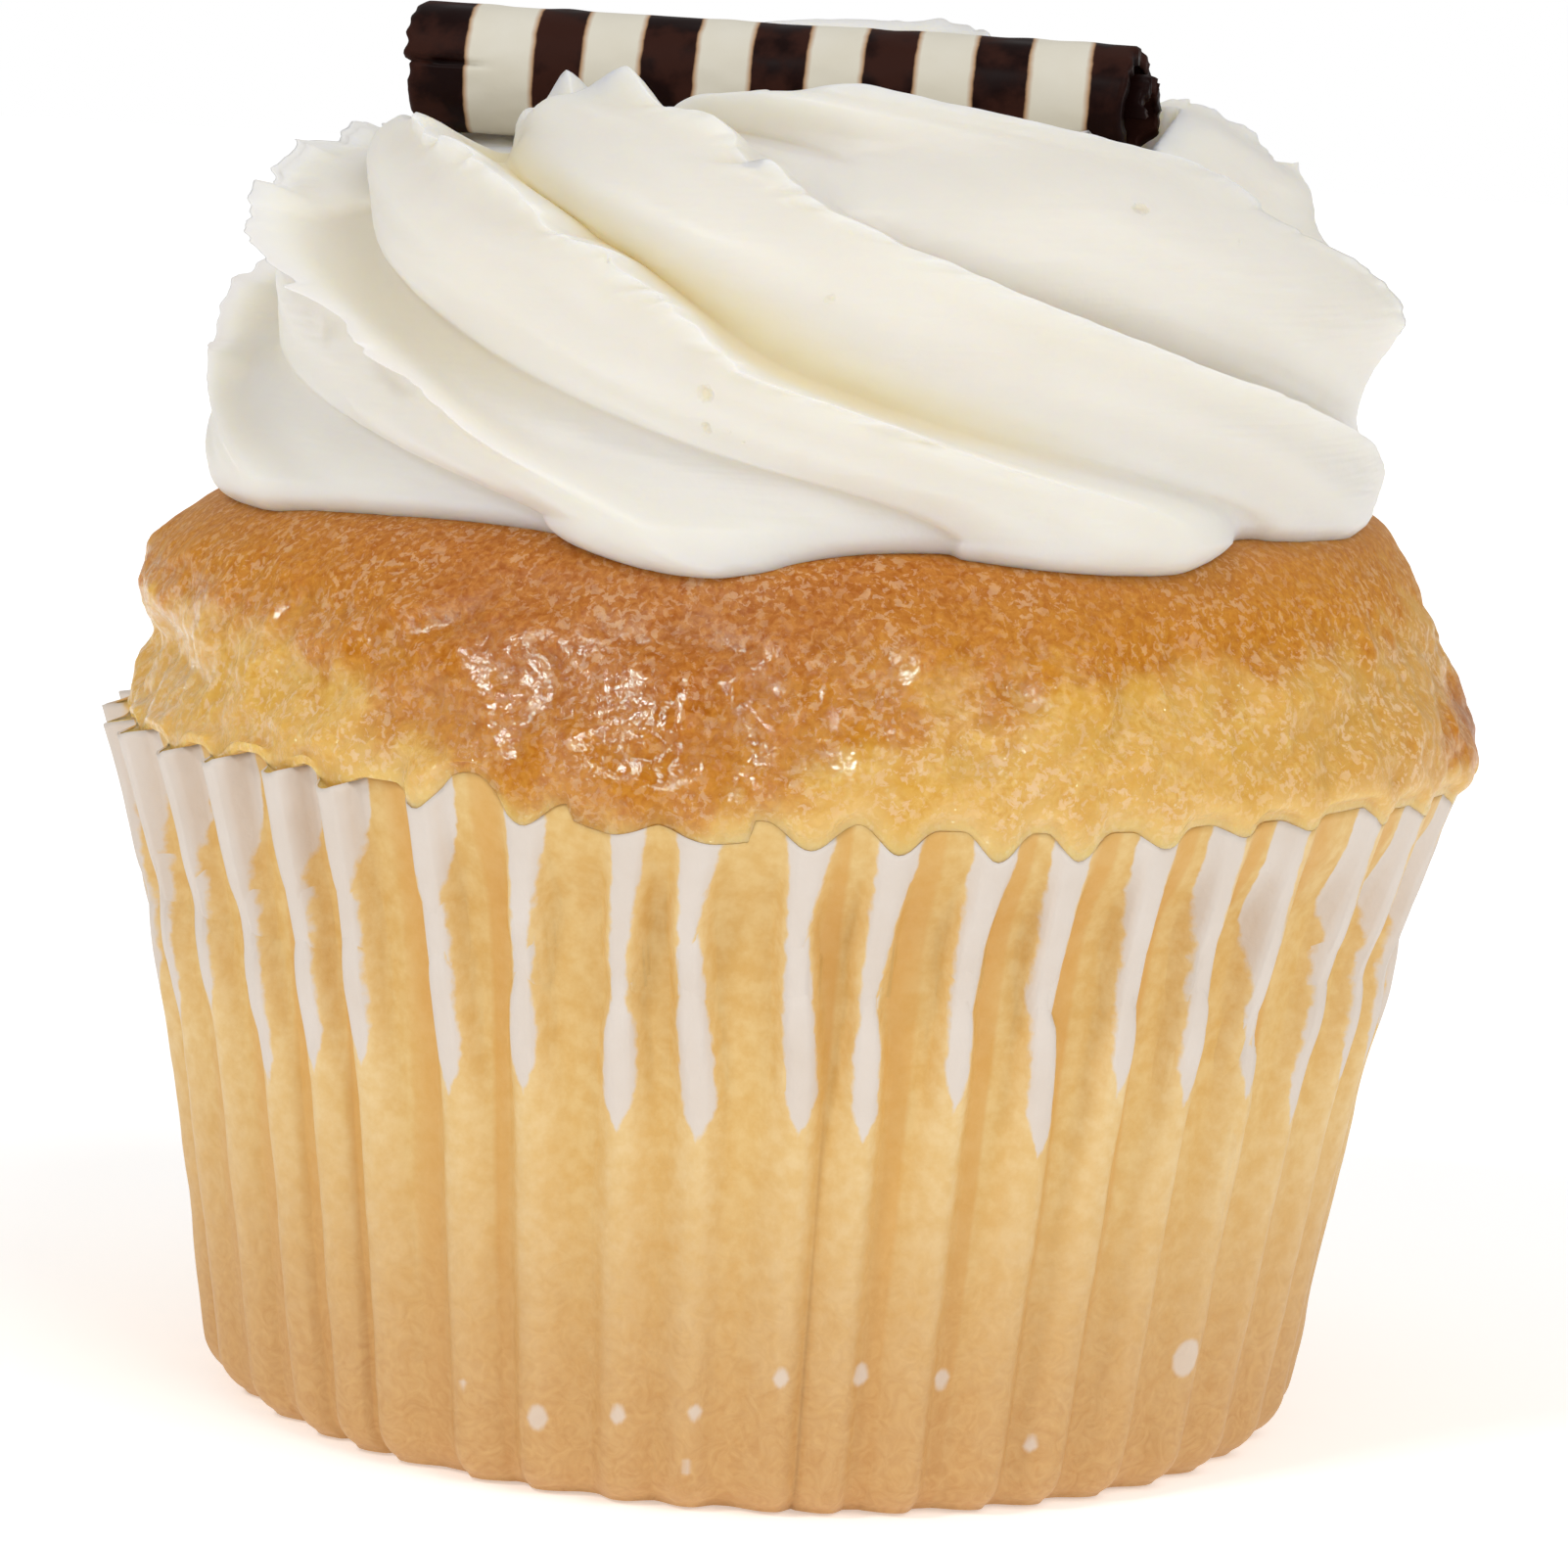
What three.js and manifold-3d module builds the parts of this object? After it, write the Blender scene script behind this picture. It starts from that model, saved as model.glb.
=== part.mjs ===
// Frosted cupcake in a fluted paper case, with a striped chocolate roll laid in the frosting.
// Millimetres, +Z up. The origin is the centre of the flat underside of the paper case.
// Angles are in degrees about +Z, counterclockwise from +X, and the front faces -Y.
import * as THREE from "three";
import Module from "manifold-3d";
import { mergeVertices } from "three/addons/utils/BufferGeometryUtils.js";

// ---------------------------------------------------------------- driving dimensions
const caseHeight = 33.9;
const baseRadius = 27.9; // of the flute ridges, where the wall would meet the base
const wallSlope = 0.16; // growth in radius for each millimetre of height
const rimFlare = 1.55; // extra radius that the wall gains above flareStart
const flareStart = 17;
const cornerRadius = 2.2; // between the base and the wall
const paperThickness = 0.35;
const fluteCount = 42;
const rimScallop = 1.2; // how far a ridge's rim lies below a furrow's
const gap = 0.3; // clearance between neighbouring pieces

const rollRadius = 3.3;
const rollLength = 38.6;
const rollSheet = 0.85; // thickness of the chocolate sheet that is rolled up
const rollWindings = 1.6;
const rollSeam = 65; // angle of the sheet's outer edge round the roll: low down, at the back
const rollCentre = [-1.9, 0.4, 66.5];
const rollYaw = -16; // the right end comes forward
const rollDip = 0.45; // and lies a little lower

// The crust above the rim of the case: meridians as radius and height, from the underside of
// the overhanging edge to the top, and the angle at which each one holds.
const crustMeridians = [
  { at: -180, line: [[31.6, 34.3], [32, 35.9], [31.8, 37.9], [32.6, 39.8], [32.3, 41.8], [30.8, 43.6], [27.5, 45.6]] },
  { at: -90, line: [[34.4, 34.1], [34.9, 35.4], [34.4, 37.2], [33.7, 39.2], [32.8, 41.2], [31.2, 43.4], [27.8, 46]] },
  { at: 0, line: [[34.9, 34.1], [35.5, 35.3], [34.4, 37.8], [33.3, 40], [32.4, 42.2], [31, 45], [28, 47.4]] },
  { at: 90, line: [[34, 34.1], [34.4, 35.4], [34, 37.4], [33.3, 39.6], [32.5, 41.6], [31, 43.8], [27.6, 46.2]] },
];
const domeTop = 51.5;

// The frosting is a mound with seven slanting blades. A blade's crest follows one meridian,
// and the furrows between the blades follow another. Both run from the foot of the mound,
// over its crown, to the middle of the hollow at the top, as radius and height. Places
// between their points are counted in knots.
const crestMeridian = [
  [28.4, 44.2], [29.5, 46.6], [29.8, 50], [29.8, 54], [29.5, 58], [27.1, 61.5], [23.6, 64.5],
  [18.9, 66.8], [14.6, 65.8], [9.5, 63.8], [0, 63],
];
const furrowMeridian = [
  [28, 44.2], [28.2, 46.6], [26.4, 50], [23.6, 53.4], [21.2, 56.8], [18.8, 59.8], [16.2, 62],
  [13.4, 63.2], [10.6, 63.5], [7, 63.2], [0, 63],
];
const footLobe = { at: -96, width: 12, spread: 1.2 }; // where the foot runs out furthest over the crust
// For each blade: the angle of its crest at knots 1 to 8, the share of the way from the crest
// before it that its bulging face takes at knots 1, 3 and 5, how far its crown is raised, and
// the knot past which it ends.
const blades = [
  { crest: [-105, -120, -135, -154, -169, -185, -206, -222], face: [0.2, 0.72, 0.66], lift: -1.5, end: 7.4 },
  { crest: [-50, -72, -95, -107, -124, -144, -165, -180], face: [0.45, 0.68, 0.66], lift: -1.6, end: 5.9 },
  { crest: [0, -13, -44, -71, -89, -101, -122, -138], face: [0.5, 0.82, 0.9], lift: 0, end: 7.3 },
  { crest: [48, 33, 13, -6, -32, -44, -86, -104], face: [0.6, 0.84, 0.9], lift: 0, end: 7.5 },
  { crest: [103, 88, 66, 44, 24, 13, 10, 4], face: [0.6, 0.75, 0.78], lift: 1.4, end: 7.3 },
  { crest: [156, 140, 118, 96, 74, 56, 42, 28], face: [0.55, 0.75, 0.75], lift: 2.6, end: 7.5 },
  { crest: [208, 192, 172, 150, 128, 112, 74, 52], face: [0.5, 0.72, 0.72], lift: 4.4, end: 7.5 },
];

// ---------------------------------------------------------------- helpers
const radians = THREE.MathUtils.degToRad;
const smoothstep = THREE.MathUtils.smoothstep;
const bump = (x, centre, width) => Math.exp(-(((x - centre) / width) ** 2));

// The signed difference of two angles in degrees, from -180 to 180.
const turn = (a, b) => ((((a - b + 180) % 360) + 360) % 360) - 180;

// Repeatable noise from -1 to 1: random values on a unit lattice, blended smoothly.
function latticeValue(i, j, k) {
  const s = Math.sin(i * 127.1 + j * 311.7 + k * 74.7) * 43758.5453;
  return 2 * (s - Math.floor(s)) - 1;
}
function noise(x, y, z) {
  const [i, j, k] = [x, y, z].map(Math.floor);
  const [u, v, w] = [x - i, y - j, z - k].map((t) => t * t * (3 - 2 * t));
  let sum = 0;
  for (const [a, wa] of [[0, 1 - u], [1, u]])
    for (const [b, wb] of [[0, 1 - v], [1, v]])
      for (const [c, wc] of [[0, 1 - w], [1, w]])
        sum += wa * wb * wc * latticeValue(i + a, j + b, k + c);
  return sum;
}

// A closed surface from rings of points, with a single point at its first and last end.
// The rings run from the underside outwards and up, so that the faces point out.
function ringSolid(firstPoint, rings, lastPoint) {
  const columns = rings[0].length;
  const positions = [...firstPoint, ...rings.flat(2), ...lastPoint];
  const at = (ring, column) => 1 + ring * columns + (column % columns);
  const last = 1 + rings.length * columns;
  const index = [];
  for (let c = 0; c < columns; c++) {
    index.push(0, at(0, c + 1), at(0, c));
    for (let r = 0; r + 1 < rings.length; r++) {
      index.push(at(r, c), at(r, c + 1), at(r + 1, c + 1));
      index.push(at(r, c), at(r + 1, c + 1), at(r + 1, c));
    }
    index.push(at(rings.length - 1, c), at(rings.length - 1, c + 1), last);
  }
  const geometry = new THREE.BufferGeometry();
  geometry.setAttribute("position", new THREE.Float32BufferAttribute(positions, 3));
  geometry.setIndex(index);
  return geometry;
}

const polar = (radius, degrees, z) => [
  radius * Math.cos(radians(degrees)),
  radius * Math.sin(radians(degrees)),
  z,
];

// A spline through points of two values, read at a place counted in points.
function splineReader(points) {
  const curve = new THREE.SplineCurve(points.map(([x, y]) => new THREE.Vector2(x, y)));
  return (knot) => curve.getPoint(Math.min(1, Math.max(0, knot / (points.length - 1))));
}

// ---------------------------------------------------------------- paper case
// Radius of the flute ridges at a height: a straight wall with a flare in its upper half.
function ridgeRadius(z) {
  const flare = Math.max(0, (z - flareStart) / (caseHeight - flareStart));
  return baseRadius + wallSlope * z + rimFlare * flare ** 2;
}

// Depth of the furrows between the ridges: shallow where the cake has filled the flutes.
const fluteDepth = (z) => 0.75 + 0.95 * smoothstep(z, 14, caseHeight);

// Angle of a place on the case, counted in flutes. The flutes crowd a little at the front left.
function fluteAngle(flute) {
  const even = (flute * 360) / fluteCount - 90;
  const jitter = 0.7 * noise(flute * 0.9, 4.5, 0.5);
  return even + jitter + 4.5 * bump(turn(even, -148), 0, 14) + 3 * bump(turn(even, -106), 0, 12);
}

// A section of the case at a height and an inset from its outside. Ridges take the middle of
// each flute, and furrows its ends.
function caseRing(z, inset, scallop) {
  const corners = [[-0.34, 0], [-0.16, 1], [0.16, 1], [0.34, 0]]; // share of a flute, ridge or not
  const below = Math.max(0, 1 - z / cornerRadius);
  const corner = cornerRadius * (1 - Math.sqrt(1 - below ** 2));
  const ring = [];
  for (let flute = 0; flute < fluteCount; flute++)
    for (const [share, ridge] of corners) {
      const radius = ridgeRadius(z) - fluteDepth(z) * (1 - ridge) - corner - inset;
      ring.push(polar(radius, fluteAngle(flute + share), z - scallop * ridge));
    }
  return ring;
}

function paperCase() {
  const outerHeights = [0, 0.6, cornerRadius, 19, 26];
  const innerHeights = [26, 19, cornerRadius, 0.9];
  const rings = [
    ...outerHeights.map((z) => caseRing(z, 0, 0)),
    caseRing(caseHeight, 0, rimScallop),
    caseRing(caseHeight, paperThickness, rimScallop),
    ...innerHeights.map((z) => caseRing(z, paperThickness, 0)),
  ];
  // The inner floor is level, one sheet above the base.
  const floor = caseRing(0, 2 * paperThickness, 0).map(([x, y]) => [x, y, paperThickness]);
  return ringSolid([0, 0, 0], [...rings, floor], [0, 0, paperThickness]);
}

// ---------------------------------------------------------------- cake
const crustReaders = crustMeridians.map(({ line }) => splineReader([...line, [16, domeTop - 1.2], [0, domeTop]]));

// A point of the crust: the two meridians on either side of the angle, blended, with craggy
// relief in its lower part.
function crustPoint(angle, knot) {
  const quarter = (((angle + 180) % 360) + 360) % 360 / 90;
  const before = Math.floor(quarter);
  const a = crustReaders[before % 4](knot);
  const b = crustReaders[(before + 1) % 4](knot);
  const { x: radius, y: z } = a.lerp(b, smoothstep(quarter - before, 0, 1));
  const [x, y] = polar(1, angle, 0);
  const crags = 0.5 * noise(x * 7, y * 7, z * 0.35) + 0.35 * noise(x * 15, y * 15, z * 0.6);
  const craggy = 1 - smoothstep(z, 41, 45);
  return polar(radius + crags * craggy, angle, z);
}

function cake() {
  const columns = 104;
  const angles = Array.from({ length: columns }, (_, c) => (c * 360) / columns);
  const sideRadius = (z) => ridgeRadius(z) - fluteDepth(z) - paperThickness - gap - 0.1;
  const floor = paperThickness + gap;
  const sides = [
    [sideRadius(0) - 2.4, floor],
    [sideRadius(0) - 0.5, floor + 1.4],
    [sideRadius(4), floor + 4],
    [sideRadius(19), 19],
    [sideRadius(27), 27],
    [sideRadius(31), 34.1],
  ].map(([radius, z]) => angles.map((a) => polar(radius, a, z)));
  const knots = [0, 0.5, 1, 1.5, 2, 2.5, 3, 3.5, 4, 4.6, 5.3, 6, 7];
  const crust = knots.map((knot) => angles.map((a) => crustPoint(a, knot)));
  return ringSolid([0, 0, floor], [...sides, ...crust], [0, 0, domeTop]);
}

// ---------------------------------------------------------------- chocolate roll
// One sheet rolled up. Its outer winding is round, and the sheet's edge shows as a slit.
function rollSection() {
  const pitch = rollSheet + 0.2;
  const stepsPerTurn = 28;
  const steps = Math.round(stepsPerTurn * rollWindings);
  const dive = 1.2; // radians over which the sheet dips under its own outer edge
  const outer = [];
  const inner = [];
  for (let i = 0; i <= steps; i++) {
    const angle = (i / stepsPerTurn) * 2 * Math.PI;
    const under = smoothstep(angle, 2 * Math.PI - dive, 2 * Math.PI);
    const wound = Math.max(0, angle / (2 * Math.PI) - 1);
    const radius = rollRadius - pitch * (under + wound);
    const direction = new THREE.Vector2(1, 0).rotateAround(new THREE.Vector2(), angle + radians(rollSeam));
    outer.push(direction.clone().multiplyScalar(radius));
    inner.push(direction.clone().multiplyScalar(radius - rollSheet));
  }
  return new THREE.Shape([...outer, ...inner.reverse()]);
}

function placeAlongRoll(object) {
  object.rotation.set(0, radians(90 + rollDip), radians(rollYaw), "ZYX");
  object.position.set(...rollCentre);
  object.updateMatrix();
  return object;
}

function chocolateRoll() {
  const options = { depth: rollLength, steps: 1, bevelEnabled: false, curveSegments: 1 };
  return new THREE.ExtrudeGeometry(rollSection(), options).translate(0, 0, -rollLength / 2);
}

// ---------------------------------------------------------------- frosting
const crestAt = splineReader(crestMeridian);
const furrowAt = splineReader(furrowMeridian);
const crestAngleReaders = blades.map(({ crest }) => splineReader(crest.map((angle, i) => [i, angle])));
const faceReaders = blades.map(({ face }) => splineReader(face.map((share, i) => [i, share])));

// The angle of a blade's crest at a knot. Blades past the last one go on round, a turn further.
function crestAngle(blade, knot) {
  const turns = Math.floor(blade / blades.length);
  return crestAngleReaders[blade % blades.length](knot - 1).y + 360 * turns;
}

// The section from one crest to the next, in places from 0 to 7: how far along it is, and how
// near to the crest meridian. It drops steeply behind the crest, lies low in the furrow, and
// rises from the foot in a bulging face to the next crest.
function sectionPoint(face, place) {
  const foot = 1 - face;
  const points = [
    [0, 1], [0.012, 0.6], [0.03 + 0.06 * foot, 0.22], [0.5 * foot, 0.02],
    [foot, 0.1], [foot + 0.16 * face, 0.46], [foot + 0.5 * face, 0.86], [1, 1],
  ];
  return splineReader(points)(place);
}

// The height that the frosting may reach at a point: it is pressed down under the roll, and
// leans away from it at both sides.
function pressedHeight(x, y, z) {
  const yaw = radians(rollYaw);
  const along = (x - rollCentre[0]) * Math.cos(yaw) + (y - rollCentre[1]) * Math.sin(yaw);
  const aside = Math.abs((y - rollCentre[1]) * Math.cos(yaw) - (x - rollCentre[0]) * Math.sin(yaw));
  const bore = rollRadius + gap;
  const axisHeight = rollCentre[2] - along * Math.tan(radians(rollDip));
  const past = Math.max(0, Math.abs(along) - rollLength / 2 - 0.5);
  const under = aside < bore ? -Math.sqrt(bore ** 2 - aside ** 2) : (aside - bore) * 2.5;
  return Math.min(z, axisHeight + under + past * 1.5);
}

function frostingPoint(blade, share, near, knot) {
  const next = blades[(blade + 1) % blades.length];
  const before = blades[blade % blades.length];
  const end = before.end + (next.end - before.end) * share;
  const height = near * (1 - smoothstep(knot, end, end + 0.7));
  const lift = before.lift + (next.lift - before.lift) * share;
  const start = crestAngle(blade, knot);
  const angle = start + share * (crestAngle(blade + 1, knot) - start);
  const crest = crestAt(knot);
  const furrow = furrowAt(knot);
  const lobe = footLobe.spread * bump(turn(angle, footLobe.at), 0, footLobe.width) * bump(knot, 0, 1.6);
  const radius = furrow.x + (crest.x - furrow.x) * height + lobe;
  const z = furrow.y + (crest.y - furrow.y) * height + lift * height * bump(knot, 7, 1.7);
  const [x, y] = polar(radius, angle, 0);
  return [x, y, pressedHeight(x, y, z)];
}

function frostingMound() {
  const places = [0, 0.5, 1, 1.6, 2.3, 3, 3.6, 4, 4.4, 5, 5.5, 6, 6.5];
  const knots = [0, 0.6, 1.2, 1.8, 2.4, 3, 3.6, 4.2, 4.8, 5.3, 5.8, 6.3, 6.7, 7.1, 7.5, 8, 8.5, 9.2];
  const rings = knots.map((knot) => {
    return blades.flatMap((_, blade) => {
      const face = faceReaders[(blade + 1) % blades.length]((knot - 1) / 2).y;
      return places.map((place) => {
        const { x: share, y: near } = sectionPoint(face, place);
        return frostingPoint(blade, share, near, knot);
      });
    });
  });
  const sunk = 38; // height well inside the cake, from which the mound is cut off by the dome
  const foot = rings[0].map(([x, y]) => [x, y, sunk]);
  const [, topHeight] = crestMeridian[crestMeridian.length - 1];
  return ringSolid([0, 0, sunk], [foot, ...rings], [0, 0, pressedHeight(0, 0, topHeight)]);
}

// ---------------------------------------------------------------- cuts between pieces
const wasm = await Module();
wasm.setup();

function solidOf(geometry) {
  const bare = geometry.clone();
  for (const name of ["normal", "uv"]) bare.deleteAttribute(name);
  const merged = mergeVertices(bare, 1e-4);
  return new wasm.Manifold(
    new wasm.Mesh({
      numProp: 3,
      vertProperties: new Float32Array(merged.attributes.position.array),
      triVerts: new Uint32Array(merged.index.array),
    }),
  );
}

function geometryOf(solid) {
  const { vertProperties, triVerts } = solid.getMesh();
  const geometry = new THREE.BufferGeometry();
  geometry.setAttribute("position", new THREE.BufferAttribute(vertProperties, 3));
  geometry.setIndex(new THREE.BufferAttribute(triVerts, 1));
  return geometry;
}

// The mound without the room for the dome below it and for the roll laid in it.
function frosting(cakeGeometry) {
  const dome = solidOf(cakeGeometry.clone().translate(0, 0, gap));
  const bore = new THREE.CylinderGeometry(rollRadius + gap, rollRadius + gap, rollLength + 1, 24);
  const room = placeAlongRoll(new THREE.Mesh(bore.rotateX(Math.PI / 2)));
  const cut = solidOf(frostingMound()).subtract(dome).subtract(solidOf(bore.applyMatrix4(room.matrix)));
  const pieces = cut.decompose().sort((a, b) => b.volume() - a.volume());
  return geometryOf(pieces[0]);
}

// ---------------------------------------------------------------- materials and assembly
const finish = (color, roughness) => new THREE.MeshStandardMaterial({ color, roughness, metalness: 0 });
const greasedPaper = finish(0xe4c488, 0.55);
const goldenCrust = finish(0xc98a44, 0.4);
const buttercream = finish(0xefe9dc, 0.45);
const chocolate = finish(0x4a2c22, 0.35);

function piece(name, geometry, material) {
  const mesh = new THREE.Mesh(geometry, material);
  mesh.name = name;
  return mesh;
}

const cakeGeometry = cake();
const cupcake = new THREE.Group();
cupcake.add(piece("paper_case", paperCase(), greasedPaper));
cupcake.add(piece("cake", cakeGeometry, goldenCrust));
cupcake.add(piece("frosting", frosting(cakeGeometry), buttercream));
cupcake.add(placeAlongRoll(piece("chocolate_roll", chocolateRoll(), chocolate)));

export default cupcake;
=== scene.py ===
import math
from functools import partial

import bpy
import numpy as np
from mathutils import Matrix, Vector


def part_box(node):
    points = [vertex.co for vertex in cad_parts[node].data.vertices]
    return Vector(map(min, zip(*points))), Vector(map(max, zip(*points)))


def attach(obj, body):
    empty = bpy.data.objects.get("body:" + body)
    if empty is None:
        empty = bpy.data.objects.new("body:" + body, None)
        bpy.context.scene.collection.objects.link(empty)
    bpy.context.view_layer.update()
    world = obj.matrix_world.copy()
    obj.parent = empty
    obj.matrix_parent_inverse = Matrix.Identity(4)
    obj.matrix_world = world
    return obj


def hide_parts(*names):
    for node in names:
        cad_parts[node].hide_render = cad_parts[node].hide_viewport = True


# A frosted cupcake in a fluted paper case, with a striped chocolate roll laid in the frosting.
# Shapes are worked out in millimetres, with the front facing -Y, and turned to metres in makeMesh.
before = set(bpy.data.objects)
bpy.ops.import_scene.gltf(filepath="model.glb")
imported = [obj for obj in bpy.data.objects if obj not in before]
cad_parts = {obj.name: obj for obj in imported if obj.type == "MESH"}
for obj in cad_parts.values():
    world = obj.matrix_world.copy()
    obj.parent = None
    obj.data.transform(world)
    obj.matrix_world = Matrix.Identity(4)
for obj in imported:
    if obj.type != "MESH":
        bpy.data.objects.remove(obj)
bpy.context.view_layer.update()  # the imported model: its bodies, nodes and sizes
mm = 0.001
print("loaded", len(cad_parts), "nodes")


# curves, noise and meshes

def bump(x, centre, width):  # exp(-((x - centre) / width)^2)
    return np.exp(-(((x - centre) / width) ** 2))


def smooth(x, low, high):  # 3t^2 - 2t^3, with t from 0 at low to 1 at high
    t = np.clip((x - low) / (high - low), 0, 1)
    return t * t * (3 - 2 * t)


def turn(a, b):  # a - b in degrees, from -180 to 180
    return (a - b + 180) % 360 - 180


def latticeValue(i, j, k):  # the fraction of a large sine, from -1 to 1
    s = np.sin(i * 127.1 + j * 311.7 + k * 74.7) * 43758.5453
    return 2 * (s - np.floor(s)) - 1


def noise(x, y, z):  # lattice values blended by 3t^2 - 2t^3 along each axis
    x, y, z = np.broadcast_arrays(x, y, z)
    i, j, k = np.floor(x), np.floor(y), np.floor(z)
    u, v, w = (t * t * (3 - 2 * t) for t in (x - i, y - j, z - k))
    total = 0
    for a, alongX in ((0, 1 - u), (1, u)):
        for b, alongY in ((0, 1 - v), (1, v)):
            for c, alongZ in ((0, 1 - w), (1, w)):
                total = total + alongX * alongY * alongZ * latticeValue(i + a, j + b, k + c)
    return total


def roughNoise(points, size, octaves=3):  # noise at a size in mm, with halves of it added
    total = 0
    for octave in range(octaves):
        x, y, z = (points[..., axis] * 2 ** octave / size + 17 * octave for axis in range(3))
        total = total + noise(x, y, z) / 2 ** octave
    return total


def spline(points, knot):
    # uniform Catmull-Rom: a cubic through each two points, with slopes from their neighbours
    points = np.asarray(points, float)
    last = len(points) - 1
    knot = np.clip(knot, 0, last)
    i = np.minimum(np.floor(knot).astype(int), last - 1)
    t = knot - i
    if points.ndim > 1:
        t = t[..., None]
    before, start, end, after = (points[np.clip(i + step, 0, last)] for step in (-1, 0, 1, 2))
    startSlope, endSlope = (end - before) / 2, (after - start) / 2
    return (
        (2 * start - 2 * end + startSlope + endSlope) * t ** 3
        + (3 * end - 3 * start - 2 * startSlope - endSlope) * t ** 2
        + startSlope * t + start
    )


def polar(radius, degrees, z):  # (radius cos a, radius sin a, z)
    angle = np.radians(degrees)
    return np.stack(np.broadcast_arrays(radius * np.cos(angle), radius * np.sin(angle), z), -1)


def makeMesh(name, points, faces, attributes):
    # points in mm, faces as arrays of corners, and an attribute as one value for each point
    mesh = bpy.data.meshes.new(name)
    mesh.vertices.add(len(points))
    mesh.vertices.foreach_set("co", (points * mm).astype(np.float32).ravel())
    corners = np.concatenate([block.ravel() for block in faces])
    counts = np.concatenate([np.full(len(block), block.shape[1]) for block in faces])
    mesh.loops.add(len(corners))
    mesh.loops.foreach_set("vertex_index", corners.astype(np.int32))
    mesh.polygons.add(len(counts))
    mesh.polygons.foreach_set("loop_start", (np.cumsum(counts) - counts).astype(np.int32))
    mesh.polygons.foreach_set("use_smooth", np.ones(len(counts), bool))
    mesh.update(calc_edges=True)
    for label, values in attributes.items():
        layer = mesh.attributes.new(label, "FLOAT", "POINT")
        layer.data.foreach_set("value", values.astype(np.float32).ravel())
    piece = bpy.data.objects.new(name, mesh)
    bpy.context.collection.objects.link(piece)
    return piece


def ringQuads(rows, columns):  # corners of the quads between each ring of points and the next
    c = np.arange(columns)
    following = (c + 1) % columns
    start = np.arange(rows - 1)[:, None] * columns
    above = start + columns
    quads = np.stack([start + c, start + following, above + following, above + c], -1)
    return quads.reshape(-1, 4)


def ringMesh(name, first, rings, last, attributes):
    # a closed surface: rings of points joined one to the next, with a single point at each end
    rows, columns = rings.shape[:2]
    points = np.vstack([[first], rings.reshape(-1, 3), [last]])
    c = np.arange(columns)
    following = (c + 1) % columns
    top = 1 + (rows - 1) * columns
    under = np.stack([0 * c, 1 + following, 1 + c], -1)
    over = np.stack([top + c, top + following, 0 * c + len(points) - 1], -1)
    padded = {
        label: np.concatenate([[values[0].mean()], values.ravel(), [values[-1].mean()]])
        for label, values in attributes.items()
    }
    return makeMesh(name, points, [under, 1 + ringQuads(rows, columns), over], padded)


def dress(piece, node, material):  # what stands for a node, and its finish
    piece.data.materials.append(material)
    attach(piece, "root")
    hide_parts(node)
    print(piece.name, len(piece.data.polygons), "faces")


def spread(stops, counts):  # values from stop to stop, with so many steps between each two
    steps = [np.linspace(a, b, n, endpoint=False) for a, b, n in zip(stops, stops[1:], counts)]
    return np.concatenate([*steps, [stops[-1]]])


# materials

def linear(hexColour):  # sRGB #rrggbb to linear values
    channels = [int(hexColour[i:i + 2], 16) / 255 for i in (1, 3, 5)]
    return (*[c / 12.92 if c <= 0.04045 else ((c + 0.055) / 1.055) ** 2.4 for c in channels], 1)


def setSockets(node, sockets):
    # each socket gets a value, a colour, or a link: from a node's output in use, or a given output
    for name, value in sockets.items():
        if isinstance(value, bpy.types.Node):
            value = next(output for output in value.outputs if output.enabled)
        if isinstance(value, bpy.types.NodeSocket):
            node.id_data.links.new(value, node.inputs[name])
        else:
            node.inputs[name].default_value = linear(value) if isinstance(value, str) else value


def addNode(tree, kind, sockets=None, **settings):
    # adds a node: settings are its own, and sockets are what goes into it
    node = tree.nodes.new("ShaderNode" + kind)
    for name, value in settings.items():
        setattr(node, name, value)
    setSockets(node, sockets or {})
    return node


def cells(perMm):  # the scale of a noise with so many cells in a mm
    return perMm / mm


def startMaterial(name, *labels):
    # what adds a node to it, its shader, Object coordinates, and the attributes that it reads
    material = bpy.data.materials.new(name)
    material.use_nodes = True
    add = partial(addNode, material.node_tree)
    surface = material.node_tree.nodes["Principled BSDF"]
    place = add("TexCoord").outputs["Object"]
    read = [add("Attribute", attribute_name=label).outputs["Fac"] for label in labels]
    return material, add, surface, place, *read


def wandering(add, value, noise, amount):  # value + (noise - 0.5) * amount
    centred = add("Math", {0: noise, 1: 0.5}, operation="SUBTRACT")
    return add("Math", {0: centred, 1: amount, 2: value}, operation="MULTIPLY_ADD")


def greatest(add, values):
    most = values[0]
    for value in values[1:]:
        most = add("Math", {0: most, 1: value}, operation="MAXIMUM")
    return most


# camera

camera = {
    "location": (0.28, -270, 67.2),
    "pitch": 7.47,  # degrees below level
    "roll": 3.3,  # clockwise turn of what it shows
    "lens": 121.75,
}


def makeCamera():
    # looks along (0, cos pitch, -sin pitch), turned about that line by the roll
    pitch, lean = math.radians(camera["pitch"]), math.radians(camera["roll"])
    forward = Vector((0, math.cos(pitch), -math.sin(pitch)))
    right = Vector((1, 0, 0))
    up = right.cross(forward)
    turnedUp = up * math.cos(lean) - right * math.sin(lean)
    turnedRight = right * math.cos(lean) + up * math.sin(lean)
    data = bpy.data.cameras.new("camera")
    data.sensor_fit = "HORIZONTAL"
    data.lens = camera["lens"]
    data.clip_start, data.clip_end = 0.01, 20
    holder = bpy.data.objects.new("camera", data)
    turned = Matrix((turnedRight, turnedUp, -forward)).transposed().to_4x4()
    holder.matrix_world = Matrix.Translation(Vector(camera["location"]) * mm) @ turned
    bpy.context.collection.objects.link(holder)
    bpy.context.scene.camera = holder


makeCamera()
print("camera")


# paper case

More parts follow.
